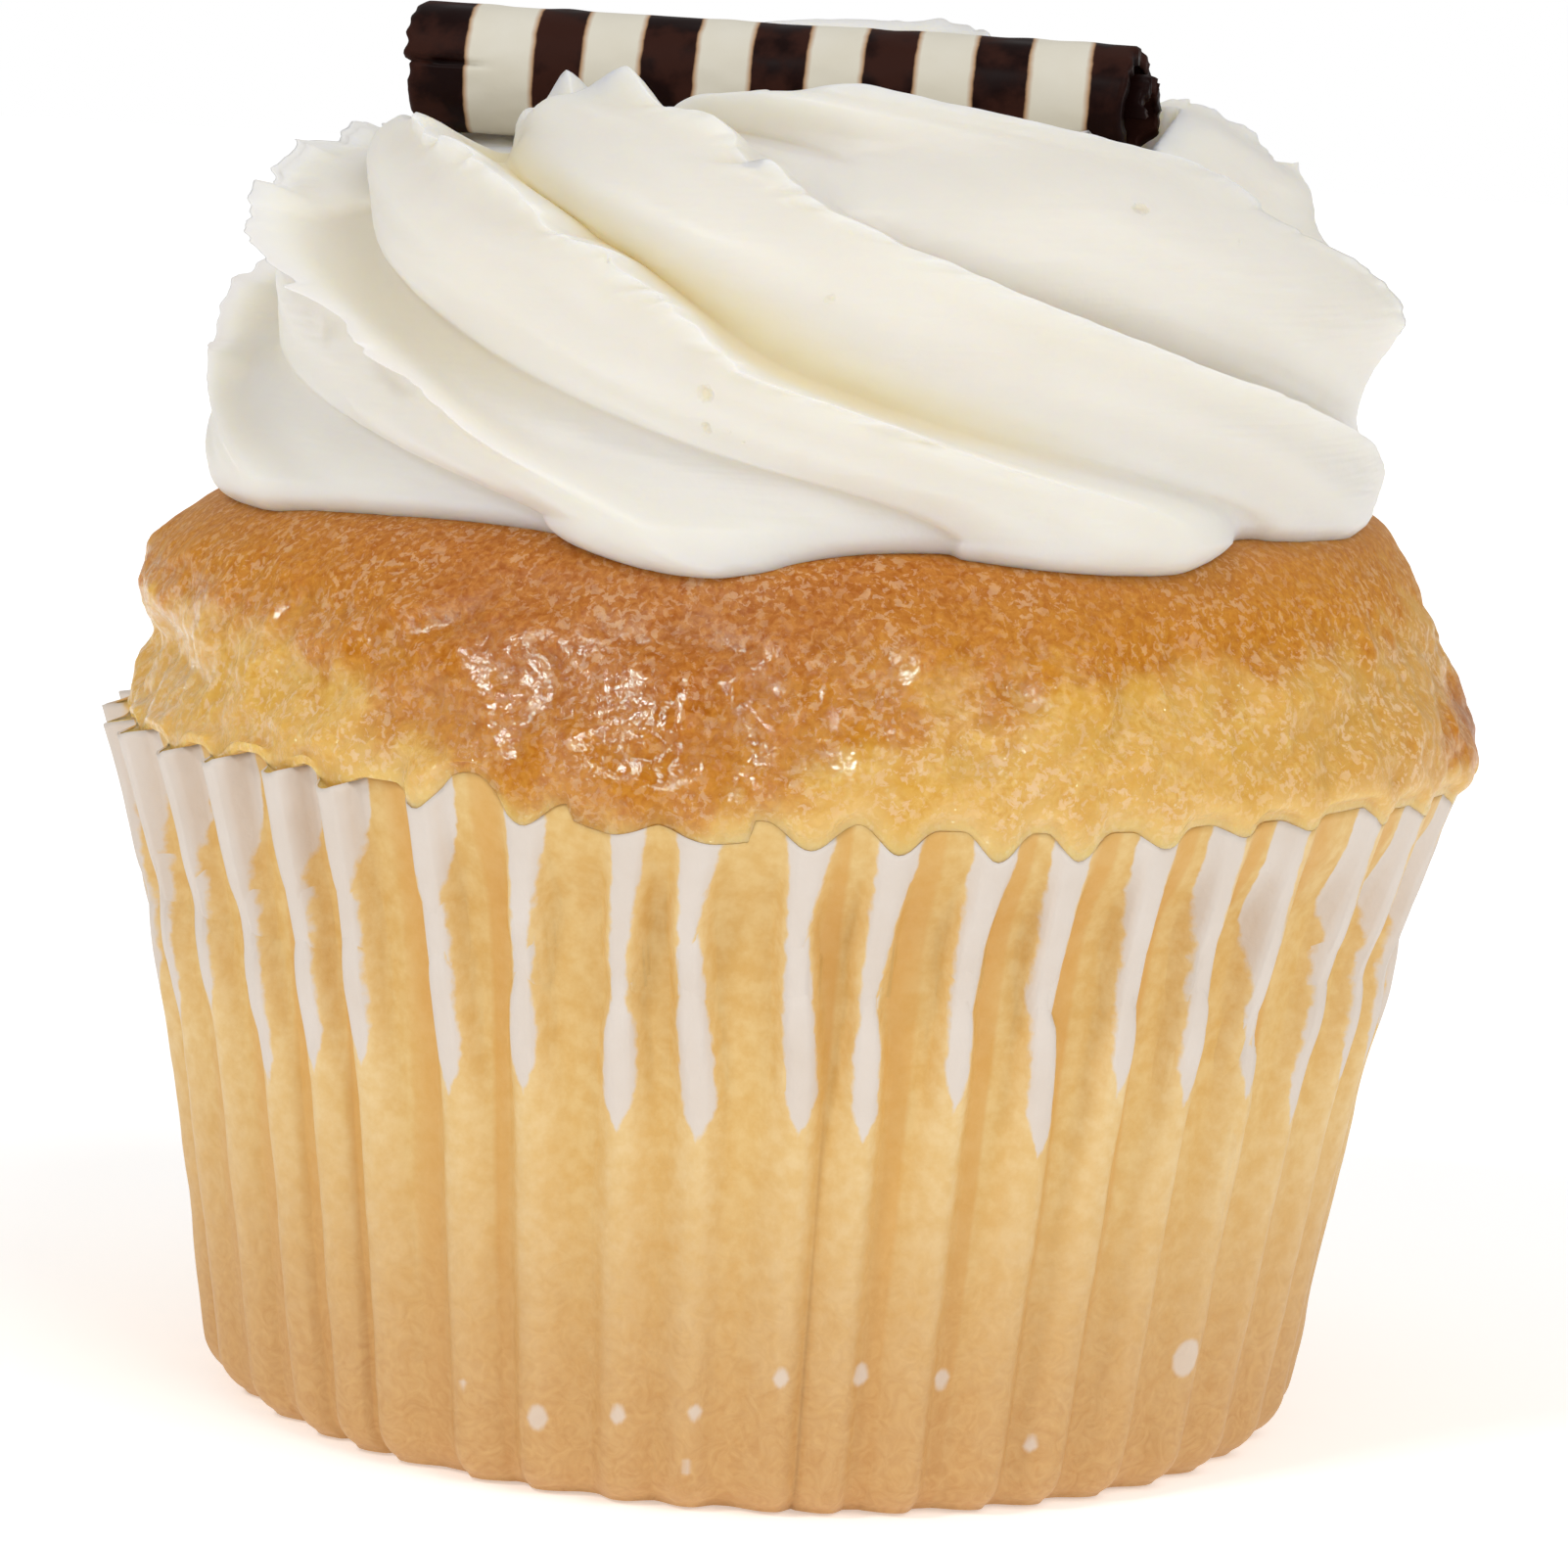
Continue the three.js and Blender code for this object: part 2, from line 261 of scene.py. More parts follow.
case = {
    "baseRadius": 27.9, "wallSlope": 0.16, "rimFlare": 1.55, "flareStart": 17,
    "cornerRadius": 2.2, "pleats": 42,
    "paper": 0.14,  # its thickness
    "scallop": 1.35,  # how far a pleat's rim dips below the furrow's
    "depthLow": 0.75, "depthGain": 0.95,  # of the furrows: shallow where the cake fills the pleats
    "filled": 0.78,  # the share of a furrow's depth that the cake takes up at the front's rim
    "jitter": 1.1,  # degrees, of the pleats at the back
    "columns": 18,  # of points, for each pleat
    "rimStart": 29,  # height from which the rows of points follow the scalloped rim
    "crease": 0.09, "creaseSize": 2.6,
    "sideRise": 0.35,  # how much higher the rim is at both sides
}
# where else the rim is higher: angle, width, mm
rimRises = [(-8, 22, 0.2), (-23.7, 3, 1.0), (-8.6, 3, 0.6)]
# Pleats round the front. In degrees from the front: the ridge at the rim, and the middle of its
# loose white strip at the rim, at the pinch and at its tip. In mm: heights of the pinch and the
# tip, widths of the strip at the rim, at the pinch and below it
frontPleats = [
    (-69, -68.2, -69, -68.4, 26.0, 18.9, 2.5, 1.1, 1.3),
    (-59.2, -58.4, -59.2, -58.8, 26.1, 20.5, 2.5, 1.0, 1.3),
    (-51, -50.2, -51, -49.9, 25.7, 17.8, 2.6, 0.95, 1.3),
    (-43, -42.2, -43, -43.0, 26.6, 19.2, 2.6, 0.9, 1.3),
    (-37, -36.3, -36.9, -37.0, 27.4, 20.0, 2.5, 0.8, 1.3),
    (-28.2, -27.6, -28.2, -27.6, 27.4, 19.4, 2.7, 0.75, 1.3),
    (-19.5, -19.2, -20.3, -20.4, 26.2, 20.0, 2.0, 0.65, 1.3),
    (-11.2, -11.0, -12.0, -12.0, 25.5, 18.6, 1.6, 0.75, 1.6),
    (-5.7, -5.5, -6.6, -5.1, 26.7, 18.4, 2.1, 0.65, 1.6),
    (2.8, 2.85, 2.1, 3.5, 27.2, 19.1, 2.1, 0.8, 1.5),
    (9.4, 9.5, 8.4, 9.1, 25.4, 18.8, 2.1, 0.8, 1.3),
    (17.2, 17.1, 16.2, 16.7, 26.2, 20.5, 2.2, 1.2, 1.2),
    (23.8, 23.3, 23.3, 25.1, 25.6, 18.2, 1.9, 1.2, 1.4),
    (31.2, 30.7, 31.3, 32.2, 26.2, 21.0, 2.1, 1.1, 1.2),
    (38.4, 37.3, 38.4, 40.0, 26.8, 20.2, 2.0, 1.0, 1.3),
    (45.8, 44.2, 46.4, 48.5, 23.8, 20.0, 2.3, 1.0, 1.2),
    (56.2, 54.6, 56.4, 56.6, 26.0, 18.4, 2.3, 1.1, 1.3),
    (65, 63.2, 65.2, 65.8, 25.5, 19.7, 2.3, 1.1, 1.3),
    (75, 73.0, 75.0, 75.5, 25.0, 19.6, 2.3, 1.1, 1.3),
]
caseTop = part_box("paper_case")[1].z / mm


def pleatTable():
    # the front pleats, then the rest spaced evenly round the back with a small random shift
    draw = np.random.default_rng(7)
    front = np.array(frontPleats)
    rest = case["pleats"] - len(front)
    gapBehind = (360 + front[0, 0] - front[-1, 0]) / (rest + 1)
    ridge = front[-1, 0] + gapBehind * np.arange(1, rest + 1) + draw.uniform(-1, 1, rest) * case["jitter"]
    back = np.stack([
        ridge,
        ridge + draw.uniform(-1, 1, rest),
        ridge + draw.uniform(-0.8, 0.8, rest),
        ridge + draw.uniform(-1.4, 1.4, rest),
        draw.uniform(24.8, 27.6, rest),
        draw.uniform(18, 21, rest),
        draw.uniform(1.8, 2.8, rest),
        draw.uniform(0.7, 1.2, rest),
        draw.uniform(1.2, 1.6, rest),
    ], -1)
    return np.vstack([front, back])


pleats = pleatTable()


def ridgeRadius(z):  # base + slope z + flare ((z - start) / (top - start))^2
    flare = np.maximum(0, (z - case["flareStart"]) / (caseTop - case["flareStart"]))
    return case["baseRadius"] + case["wallSlope"] * z + case["rimFlare"] * flare ** 2


def caseColumns(perPleat):
    # for each column, its pleat and its angle from the front: shares of the gap on either side
    angle = pleats[:, 0]
    gapAfter = (np.roll(angle, -1) - angle) % 360
    gapBefore = np.roll(gapAfter, 1)
    share = np.linspace(-0.5, 0.5, perPleat, endpoint=False)
    columns = angle[:, None] + np.where(share < 0, share * gapBefore[:, None], share * gapAfter[:, None])
    pleat = np.repeat(np.arange(len(pleats)), perPleat)
    return pleat, columns.ravel()


def stripMiddle(pleat, z):
    # degrees: from the rim to the pinch, a quick step there, and the rest of the way to the tip
    _, atRim, atPinch, atTip, pinch = pleats[pleat, :5].T
    below = 0.4 * smooth(pinch - z, -0.4, 1.4) + 0.6 * smooth(pinch - z, 0.8, 7)
    upper = 1 - smooth(z, pinch + 0.3, 33.5)
    return atRim + (atPinch - atRim) * upper + (atTip - atPinch) * below


def pleatAcross(pleat, angle, z):
    # mm along the wall from the ridge, which nears the middle of its strip down to the pinch
    ridge, atRim, _, _, pinch = pleats[pleat, :5].T
    middle = stripMiddle(pleat, z) + (ridge - atRim) * smooth(z, pinch, 33.5)
    return np.radians(turn(angle, middle)) * ridgeRadius(z)


def farSide(angle):  # 1 where the pleats' steep side faces away clockwise, -1 the other way
    return np.tanh(np.sin(np.radians(angle + 8)) * 6)


def pleatRise(pleat, angle, z):
    # 1 on the pleat's flat top, falling to 0 in the furrow by 3t^2 - 2t^3, narrower at the pinch
    across = pleatAcross(pleat, angle, z)
    far = np.clip(across * farSide(pleats[pleat, 0]), -1, 1) * 0.5 + 0.5
    upper = smooth(z, 17, 24)
    pinch = 1 - 0.32 * bump(z, pleats[pleat, 4], 1.4)
    top = (0.15 + 0.3 * upper) * pinch
    nearFoot = 2.3 - 0.95 * upper
    farFoot = 1.1 + 0.2 * upper
    foot = (nearFoot + (farFoot - nearFoot) * far) * pinch
    return 1 - smooth(np.abs(across), top, foot)


def furrowDepth(angle, z):  # less round the front, where the lip of the cake spreads the paper
    shallower = 1 - case["filled"] * (1 - smooth(np.abs(turn(angle, 30)), 46, 74)) * smooth(z, 28.5, 33)
    return (case["depthLow"] + case["depthGain"] * smooth(z, 14, caseTop)) * shallower


def caseRadius(pleat, angle, z):
    # ridge radius less the furrow's depth, drawn in at the pinch and full just below it
    depth = furrowDepth(angle, z)
    rise = pleatRise(pleat, angle, z)
    pinch = pleats[pleat, 4]
    tuck = 0.2 * bump(z, pinch, 1.3) - 0.16 * bump(z, pinch - 3.2, 2)
    return ridgeRadius(z) - depth * (1 - rise) - tuck * rise


def caseRimHeight(pleat, angle):  # a furrow's rim, less the scallop over the pleat
    level = caseTop + case["sideRise"] * bump(np.abs(angle), 48, 18)
    for at, wide, up in rimRises:
        level = level + up * bump(turn(angle, at), 0, wide)
    level = level + 0.3 * noise(angle / 6, 3.5, 0.5)
    scallop = case["scallop"] * (1 + 0.3 * noise(pleat * 3.7, 0.5, 0.5))
    # at the sides it is shallower, and lowest a little past the ridge, with the longer rise
    # towards the front
    aside = smooth(np.abs(turn(angle, 0)), 20, 36)
    past = pleatAcross(pleat, angle, caseTop) * farSide(pleats[pleat, 0]) - 0.3 * aside
    rise = np.where(past > 0, past / (1.75 - 0.45 * aside), -past / (1.75 + 0.55 * aside))
    return level - scallop * (1 - 0.45 * aside) * (1 - smooth(rise, 0, 1))


def looseStrip(pleat, angle, z):
    # mm inside the edge of the white strip along a pleat: its half width less the way across.
    # The width falls from the rim to the pinch, swells below it and runs out at the tip
    across = np.radians(turn(angle, stripMiddle(pleat, z))) * ridgeRadius(z)
    pinch, tip, atRim, atPinch, below = pleats[pleat, 4:].T
    side = np.sin(np.radians(pleats[pleat, 0]))
    cone = 1.7 - 0.55 * np.abs(side)
    upper = np.clip((z - pinch) / (caseTop - 1 - pinch), 0, 1) ** cone
    width = atPinch + (atRim - atPinch) * upper + (below - atPinch) * smooth(pinch - z, 0, 2.6)
    run = smooth(z, tip - 0.2, tip + 2.2) ** 0.7
    uneven = 0.06 * noise(pleat * 5.5, z * 0.8, np.sign(across) + 1.5)
    return np.minimum(width / 2 * run + uneven - np.abs(across), (z - tip) * 0.5)


# small places low on the wall where the paper has come off the cake: angle, height, radius
whiteSpots = [
    (-19.6, 4.1, 0.5), (-11.6, 4.8, 0.4), (-4.3, 5.2, 0.35), (3.5, 7.2, 0.4), (11.1, 7.3, 0.45),
    (19.2, 7.0, 0.42), (29.5, 3.6, 0.35), (47.5, 7.0, 0.75), (-4.9, 2.5, 0.3), (-27.3, 5.1, 0.25),
    (84, 6.1, 0.5), (118, 4.9, 0.4), (151, 7.3, 0.45), (196, 5.6, 0.5), (243, 6.9, 0.4),
]


def makeCase():
    # the outside from the base to the rim, and the inside down again, as rings of the same columns
    pleat, angle = caseColumns(case["columns"])
    rim = caseRimHeight(pleat, angle)
    low = case["rimStart"]
    allRound = np.ones((1, len(angle)))
    outside = spread([0, case["cornerRadius"], 17, low], [7, 24, 34])[:, None]
    inside = np.array([[low], [25], [20], [10], [3], [1]])
    shares = np.linspace(0, 1, 14)[1:, None]  # of the way from there to the scalloped rim
    outerZ = np.vstack([outside * allRound, low + shares * (rim - low)])
    innerZ = np.vstack([low + shares[::-1] * (rim - low), inside * allRound])

    def wall(z, inset):
        below = np.maximum(0, 1 - z / case["cornerRadius"])
        corner = case["cornerRadius"] * (1 - np.sqrt(1 - below ** 2))
        radius = caseRadius(pleat, angle, z) - corner - inset
        points = polar(radius, angle - 90, z)
        creases = case["crease"] * roughNoise(points * (1, 1, 0.6), case["creaseSize"]) * smooth(z, 0, 3)
        return polar(radius + creases, angle - 90, z)

    outer, inner = wall(outerZ, 0), wall(innerZ, case["paper"])
    floorRing = inner[-1] * (0.97, 0.97, 0)
    floorRing[:, 2] = case["paper"]
    rings = np.concatenate([outer, inner, floorRing[None]])
    z = rings[..., 2]
    spots = np.full(z.shape, -5.0)
    for spotAngle, height, radius in whiteSpots:
        across = np.radians(turn(angle, spotAngle)) * ridgeRadius(height)
        spots = np.maximum(spots, radius - np.hypot(across, (z - height) * 0.75))
    past = pleatAcross(pleat, angle, z) * farSide(pleats[pleat, 0])
    attributes = {
        "loose": looseStrip(pleat, angle, z),
        "rise": pleatRise(pleat, angle, z),
        # painted shade: how much the far side of each pleat, just past its ridge, is darkened
        "paintedLeeShade": smooth(past, 0.5, 1.3) * (1 - smooth(past, 1.6, 3.4)),
        "spots": spots,
    }
    return ringMesh("paper_cup", (0, 0, 0), rings, (0, 0, case["paper"]), attributes)


def greaseproofPaper():
    # greaseproof paper, pressed into pleats: butter has soaked it golden and see-through where
    # the cake touched it, and it stays matt white where it stood away
    material, add, surface, place, loose, rise, paintedLeeShade, spots = startMaterial(
        "greaseproof paper, pleated", "loose", "rise", "paintedLeeShade", "spots"
    )
    height = add("SeparateXYZ", {"Vector": place}).outputs["Z"]
    fibre = add("TexNoise", {"Vector": place, "Scale": cells(1.4), "Detail": 3})
    cloud = add("TexNoise", {"Vector": place, "Scale": cells(0.26), "Detail": 3})

    # the crumb behind shows through, in grains of about 0.9 mm; painted shade darkens a pleat's far side,
    # just past its ridge
    crumb = add("TexNoise", {"Vector": place, "Scale": cells(1.1), "Detail": 4, "Roughness": 0.6})
    grains = add("MapRange", {"Value": crumb, "From Min": 0.36, "From Max": 0.64})
    mottle = add("Mix", {0: 0.55, 2: cloud, 3: grains})
    furrow = add("Mix", {0: mottle, 6: "#d6a85a", 7: "#e4c587"}, data_type="RGBA")
    ridge = add("Mix", {0: mottle, 6: "#ddb671", 7: "#e8cd99"}, data_type="RGBA")
    wall = add("Mix", {0: rise, 6: furrow, 7: ridge}, data_type="RGBA")
    # painted shade: the far side of a pleat is mixed towards a darker orange
    paintedShadeShare = add("Math", {0: paintedLeeShade, 1: 0.6}, operation="MULTIPLY")
    shaded = add("Mix", {0: paintedShadeShare, 6: wall, 7: "#d69f4e"}, data_type="RGBA")
    # browner low down, in curls of about a mm
    lowDown = add(
        "MapRange", {"Value": height, "From Min": 22 * mm, "From Max": 1 * mm, "To Max": 0.85},
        interpolation_type="SMOOTHSTEP"
    )
    curl = add("TexNoise", {"Vector": place, "Scale": cells(0.9), "Detail": 4, "Distortion": 2.5})
    brown = add("Mix", {0: curl, 6: "#b07840", 7: "#d4ab72"}, data_type="RGBA")
    soaked = add("Mix", {0: lowDown, 6: shaded, 7: brown}, data_type="RGBA")

    # a white strip's edge wanders by about 0.1 mm, and is soft over 0.2 mm
    uneven = add("TexNoise", {"Vector": place, "Scale": cells(1.3), "Detail": 4})
    within = wandering(add, loose, uneven, 0.5)
    strip = add(
        "MapRange", {"Value": within, "From Min": -0.08, "From Max": 0.1, "To Max": 0.97},
        interpolation_type="SMOOTHSTEP"
    )
    spotted = add(
        "MapRange", {"Value": spots, "From Min": -0.1, "From Max": 0.15, "To Max": 0.7},
        interpolation_type="SMOOTHSTEP"
    )
    white = greatest(add, [strip, spotted])
    dry = add("Mix", {0: cloud, 6: "#d4c6b8", 7: "#e1d9d2"}, data_type="RGBA")
    colour = add("Mix", {0: white, 6: soaked, 7: dry}, data_type="RGBA")
    rough = add("MapRange", {"Value": white, "To Min": 0.5, "To Max": 0.75})
    relief = add("Bump", {"Height": fibre, "Strength": 0.5, "Distance": 0.12 * mm})
    setSockets(surface, {
        "Base Color": colour, "Roughness": rough, "IOR": 1.47, "Specular IOR Level": 0.35, "Normal": relief,
    })
    return material


dress(makeCase(), "paper_case", greaseproofPaper())


# cake

cake = {
    "domeTop": 51.5,
    # the crust above the rim at four sides: radius, height, from under the lip to the frosting
    "left": [
        (33.4, 34.3), (32.6, 35.9), (31.6, 37.7), (32.6, 39.8), (32.3, 41.8), (30.8, 43.6), (27.5, 45.6),
    ],
    "front": [
        (34.4, 34.1), (34.9, 35.4), (34.4, 37.2), (33.7, 39.2), (32.8, 41.2), (31.2, 43.4), (27.8, 46),
    ],
    "right": [
        (34.9, 34.1), (35.5, 35.3), (34.4, 37.8), (33.3, 40), (32.4, 42.2), (31, 45), (28, 47.4),
    ],
    "back": [
        (34, 34.1), (34.4, 35.4), (34, 37.4), (33.3, 39.6), (32.5, 41.6), (31, 43.8), (27.6, 46.2),
    ],
    "drawnIn": 0.9,  # how much further in the cake stands at the left
    "swell": 0.5, "hump": 0.35, "lump": 0.3, "crumb": 0.1, "grain": 0.03,  # from wide to fine
    "widest": 34.55,  # radius that the lumps may reach, and how much more at an angle, over a width
    "wider": [(90, 50, 0.6), (-90, 28, -1.9)],
    "lipBrown": 16, "lipAt": (98, 36.4), "lipWide": (32, 2.5),  # where the lip has browned more
}
# lower edge of the browned skin: angle from the front, height
brownEdge = [
    (-180, 40), (-140, 39), (-105, 40.6), (-72, 40.5), (-49, 39.6), (-36, 38.2), (-29, 35.8), (-20, 33),
    (-8, 32.4), (1.8, 35.8), (7.6, 38.4), (15, 39.4), (24, 40.3), (38, 40.8), (51, 42.2), (85, 43.2),
    (120, 41), (150, 38.5), (180, 40),
]


def crustPoint(angle, knot):
    # two neighbouring sides' splines blended round the cake by 3t^2 - 2t^3: radius and height
    top = cake["domeTop"]
    lines = [cake[side] + [(16, top - 1.2), (0, top)] for side in ("left", "front", "right", "back")]
    read = np.stack([spline(line, knot) for line in lines])
    quarter = (angle + 180) % 360 / 90
    before = np.floor(quarter).astype(int)
    share = smooth(quarter - before, 0, 1)[:, None, None]
    return read[before % 4] * (1 - share) + read[(before + 1) % 4] * share


def makeCake():
    pleat, fromFront = caseColumns(case["columns"])
    fromFront = turn(fromFront, 0)
    angle = fromFront - 90
    rim = caseRimHeight(pleat, fromFront)
    low = [(2.6, 0.5), (1.0, 1.6), (0.35, 4), (0.3, 19), (0.3, 27), (0.3, 29)]
    lowRings = [polar(ridgeRadius(z) - 1.2 - case["paper"] - inset, angle, z) for inset, z in low]
    # the cake fills the mouths of the pleats to the paper's edge; at the left it stands level
    # between the pleats, which stick out past it
    atLeft = smooth(-fromFront, 24, 40) * (1 - smooth(-fromFront, 100, 130))
    # for each ring: height from the edge, mm inside the paper's face, share of standing level
    mouth = [
        (-2.4, 0.4, 0), (-1.2, 0.25, 0), (-0.5, 0.17, 0), (-0.12, 0.16, 0), (-0.02, 0.15, 0),
        (0.005, 0.03, 0.6), (0.02, 0, 1), (0.04, -0.01, 1), (0.12, -0.02, 1), (0.3, -0.02, 1),
    ]
    mouthRings = []
    for above, inset, levelled in mouth:
        z = rim + above
        radius = caseRadius(pleat, fromFront, z) - inset
        straight = ridgeRadius(z) - 0.5 * furrowDepth(fromFront, z)
        straight = straight - cake["drawnIn"] * bump(fromFront, -88, 22)
        radius = radius + (straight - radius) * levelled * atLeft
        mouthRings.append(polar(radius, angle, z))

    # the crust starts from the last of those rings, and is on its own line after a knot or two
    knot = spread([0, 6.4, 8], [92, 9])
    section = crustPoint(angle, knot)
    outBy, upBy = radius - section[:, 0, 0], z + 0.12 - section[:, 0, 1]
    section[..., 0] += outBy[:, None] * (1 - smooth(knot / (1.8 - 1.2 * atLeft[:, None]), 0, 1))
    section[..., 1] += upBy[:, None] * (1 - smooth(knot / (1.3 - 0.8 * atLeft[:, None]), 0, 1))
    radius, z = section[..., 0].T, section[..., 1].T
    x, y, _ = polar(1, angle, 0).T
    swell = cake["swell"] * noise(x * 7, y * 7, z * 0.35)
    hump = cake["hump"] * noise(x * 15, y * 15, z * 0.6)
    points = polar(radius, angle, z)
    crumbly = smooth(knot, -0.2, 1)[:, None] * (1 - smooth(z, 41, 45))
    lumps = cake["lump"] * roughNoise(points, 2.1) + cake["crumb"] * roughNoise(points + 50, 0.8, 2)
    grain = cake["grain"] * roughNoise(points, 0.5, 2)
    radius = radius + (swell + hump + lumps) * crumbly + grain * smooth(knot, 0, 0.3)[:, None]
    # lumps that stand out too far are flattened: 0.5 tanh (mm past the limit / 0.5)
    limit = cake["widest"]
    for at, wide, more in cake["wider"]:
        limit = limit + more * bump(turn(fromFront, at), 0, wide)
    proud = np.maximum(0, radius - limit)
    radius = radius - proud + 0.5 * np.tanh(proud / 0.5)

    crust = polar(radius, angle, z)
    rings = np.concatenate([np.array(lowRings), np.array(mouthRings), crust[:-1]])
    height = rings[..., 2]
    edge = np.array(brownEdge)
    above = height - np.interp(fromFront, edge[:, 0], edge[:, 1])
    (lipAngle, lipHeight), (lipAcross, lipTall) = cake["lipAt"], cake["lipWide"]
    lip = cake["lipBrown"] * bump(fromFront, lipAngle, lipAcross) * bump(height, lipHeight, lipTall)
    attributes = {
        "brown": above + lip,
        "matt": np.maximum(smooth(height, 40.4, 42.6), 0.7 * smooth(np.abs(fromFront + 17), 43, 68)),
        # where painted light pales the crumb just above the paper's edge, less at the left
        "edge": (1 - smooth(height - rim, 0, 2.2)) * (1 - 0.8 * atLeft),
    }
    return ringMesh("sponge", (0, 0, 0.5), rings, (0, 0, cake["domeTop"]), attributes)


def spongeCrust():
    # butter sponge, baked: a matt golden-brown skin on top, and a greasy, glossy yellow crumb
    # below it where the lip has spread over the paper
    material, add, surface, place, brown, matt, edge = startMaterial(
        "sponge cake, golden crust", "brown", "matt", "edge"
    )
    x = add("SeparateXYZ", {"Vector": place}).outputs["X"]
    blotch = add("TexNoise", {"Vector": place, "Scale": cells(0.3), "Detail": 4, "Distortion": 0.4})
    crumb = add("TexNoise", {"Vector": place, "Scale": cells(0.65), "Detail": 3, "Distortion": 0.5})
    facet = add("TexNoise", {"Vector": place, "Scale": cells(2.8), "Detail": 2, "Distortion": 0.5})
    # strokes, flakes and wet strands are really about 0.2 mm wide: drawn at twice that, to show
    stroke = add(
        "TexNoise",
        {"Vector": place, "Scale": cells(2.4), "Detail": 4, "Roughness": 0.6, "Distortion": 0.6}
    )
    flake = add(
        "TexNoise",
        {"Vector": place, "Scale": cells(2.3), "Detail": 4, "Roughness": 0.6, "Distortion": 0.5}
    )
    strand = add("TexNoise", {"Vector": place, "Scale": cells(2.4), "Detail": 2, "Distortion": 1})
    stroked = add("MapRange", {"Value": stroke, "From Min": 0.34, "From Max": 0.66})
    patched = add("MapRange", {"Value": crumb, "From Min": 0.35, "From Max": 0.65})

    # the brown ends in a torn edge, about 1.5 mm either way
    browned = add(
        "MapRange", {"Value": wandering(add, brown, blotch, 9), "From Min": -1.6, "From Max": 1.6},
        interpolation_type="SMOOTHSTEP"
    )
    deep = add(
        "MapRange", {"Value": brown, "From Min": 1, "From Max": 8}, interpolation_type="SMOOTHSTEP"
    )
    # towards the right the skin is mixed with a greyer brown, and the crumb is browner at the far side
    dry = add("MapRange", {"Value": x, "From Min": 6 * mm, "From Max": 24 * mm, "To Max": 0.75})
    tanned = add("MapRange", {"Value": x, "From Min": 20 * mm, "From Max": 34 * mm, "To Max": 0.5})
    # pale flakes, in drifts, and fainter on the skin
    fainter = add("MapRange", {"Value": browned, "To Min": 0.6, "To Max": 0.34})
    drift = add("MapRange", {"Value": blotch, "From Min": 0.38, "From Max": 0.6, "To Min": 0.3})
    most = add("Math", {0: fainter, 1: drift}, operation="MULTIPLY")
    flaked = add("MapRange", {"Value": flake, "From Min": 0.52, "From Max": 0.58, "To Max": most})
    # painted light: the crumb just above the paper's edge is paled nearly to the paper's colour, standing
    # in for light through the crumb and lifting the shade under the overhanging lip; less where it is
    # browned
    rimLightShare = add("MapRange", {"Value": browned, "To Min": 0.6, "To Max": 0.1})
    paintedRimLight = add("Math", {0: edge, 1: rimLightShare}, operation="MULTIPLY")

    yellow = add("Mix", {0: stroked, 6: "#d39e3e", 7: "#e2b96a"}, data_type="RGBA")
    yellow = add("Mix", {0: patched, 6: "#d6a448", 7: yellow}, data_type="RGBA")
    yellow = add("Mix", {0: tanned, 6: yellow, 7: "#bd8238"}, data_type="RGBA")
    amber = add("Mix", {0: stroked, 6: "#b66e12", 7: "#cb8a28"}, data_type="RGBA")
    skin = add("Mix", {0: stroked, 6: "#a25609", 7: "#c07c33"}, data_type="RGBA")
    skin = add("Mix", {0: dry, 6: skin, 7: "#a9744c"}, data_type="RGBA")
    baked = add("Mix", {0: deep, 6: amber, 7: skin}, data_type="RGBA")
    colour = add("Mix", {0: browned, 6: yellow, 7: baked}, data_type="RGBA")
    colour = add("Mix", {0: flaked, 6: colour, 7: "#e9c9a2"}, data_type="RGBA")
    # painted light: the band above the paper's edge is mixed towards a pale yellow
    colour = add("Mix", {0: paintedRimLight, 6: colour, 7: "#f0cd88"}, data_type="RGBA")
    rough = add("MapRange", {"Value": matt, "To Min": 0.04, "To Max": 0.5})
    fine = add("Bump", {"Height": facet, "Strength": 0.35, "Distance": 0.12 * mm})
    relief = add("Bump", {"Height": crumb, "Strength": 0.4, "Distance": 0.3 * mm, "Normal": fine})

    # butter has come through in wet patches a few mm wide, where every crumb catches the light
    butter = add("TexNoise", {"Vector": place, "Scale": cells(0.23), "Detail": 2, "Distortion": 0.3})
    damp = add("MapRange", {"Value": butter, "From Min": 0.37, "From Max": 0.47})
    bare = add("MapRange", {"Value": matt, "To Min": 0.6, "To Max": 0})
    wet = add("Math", {0: damp, 1: bare}, operation="MULTIPLY")
    wetRelief = add("Bump", {"Height": strand, "Strength": 1, "Distance": 0.45 * mm})
    setSockets(surface, {
        "Base Color": colour, "Roughness": rough, "Specular IOR Level": 0.15, "Normal": relief,
        "Subsurface Weight": 0.5, "Subsurface Radius": (1.0, 0.7, 0.25), "Subsurface Scale": 2.2 * mm,
        "Coat Weight": wet, "Coat Roughness": 0.04, "Coat IOR": 1.5, "Coat Normal": wetRelief,
    })
    return material


dress(makeCake(), "cake", spongeCrust())


# frosting

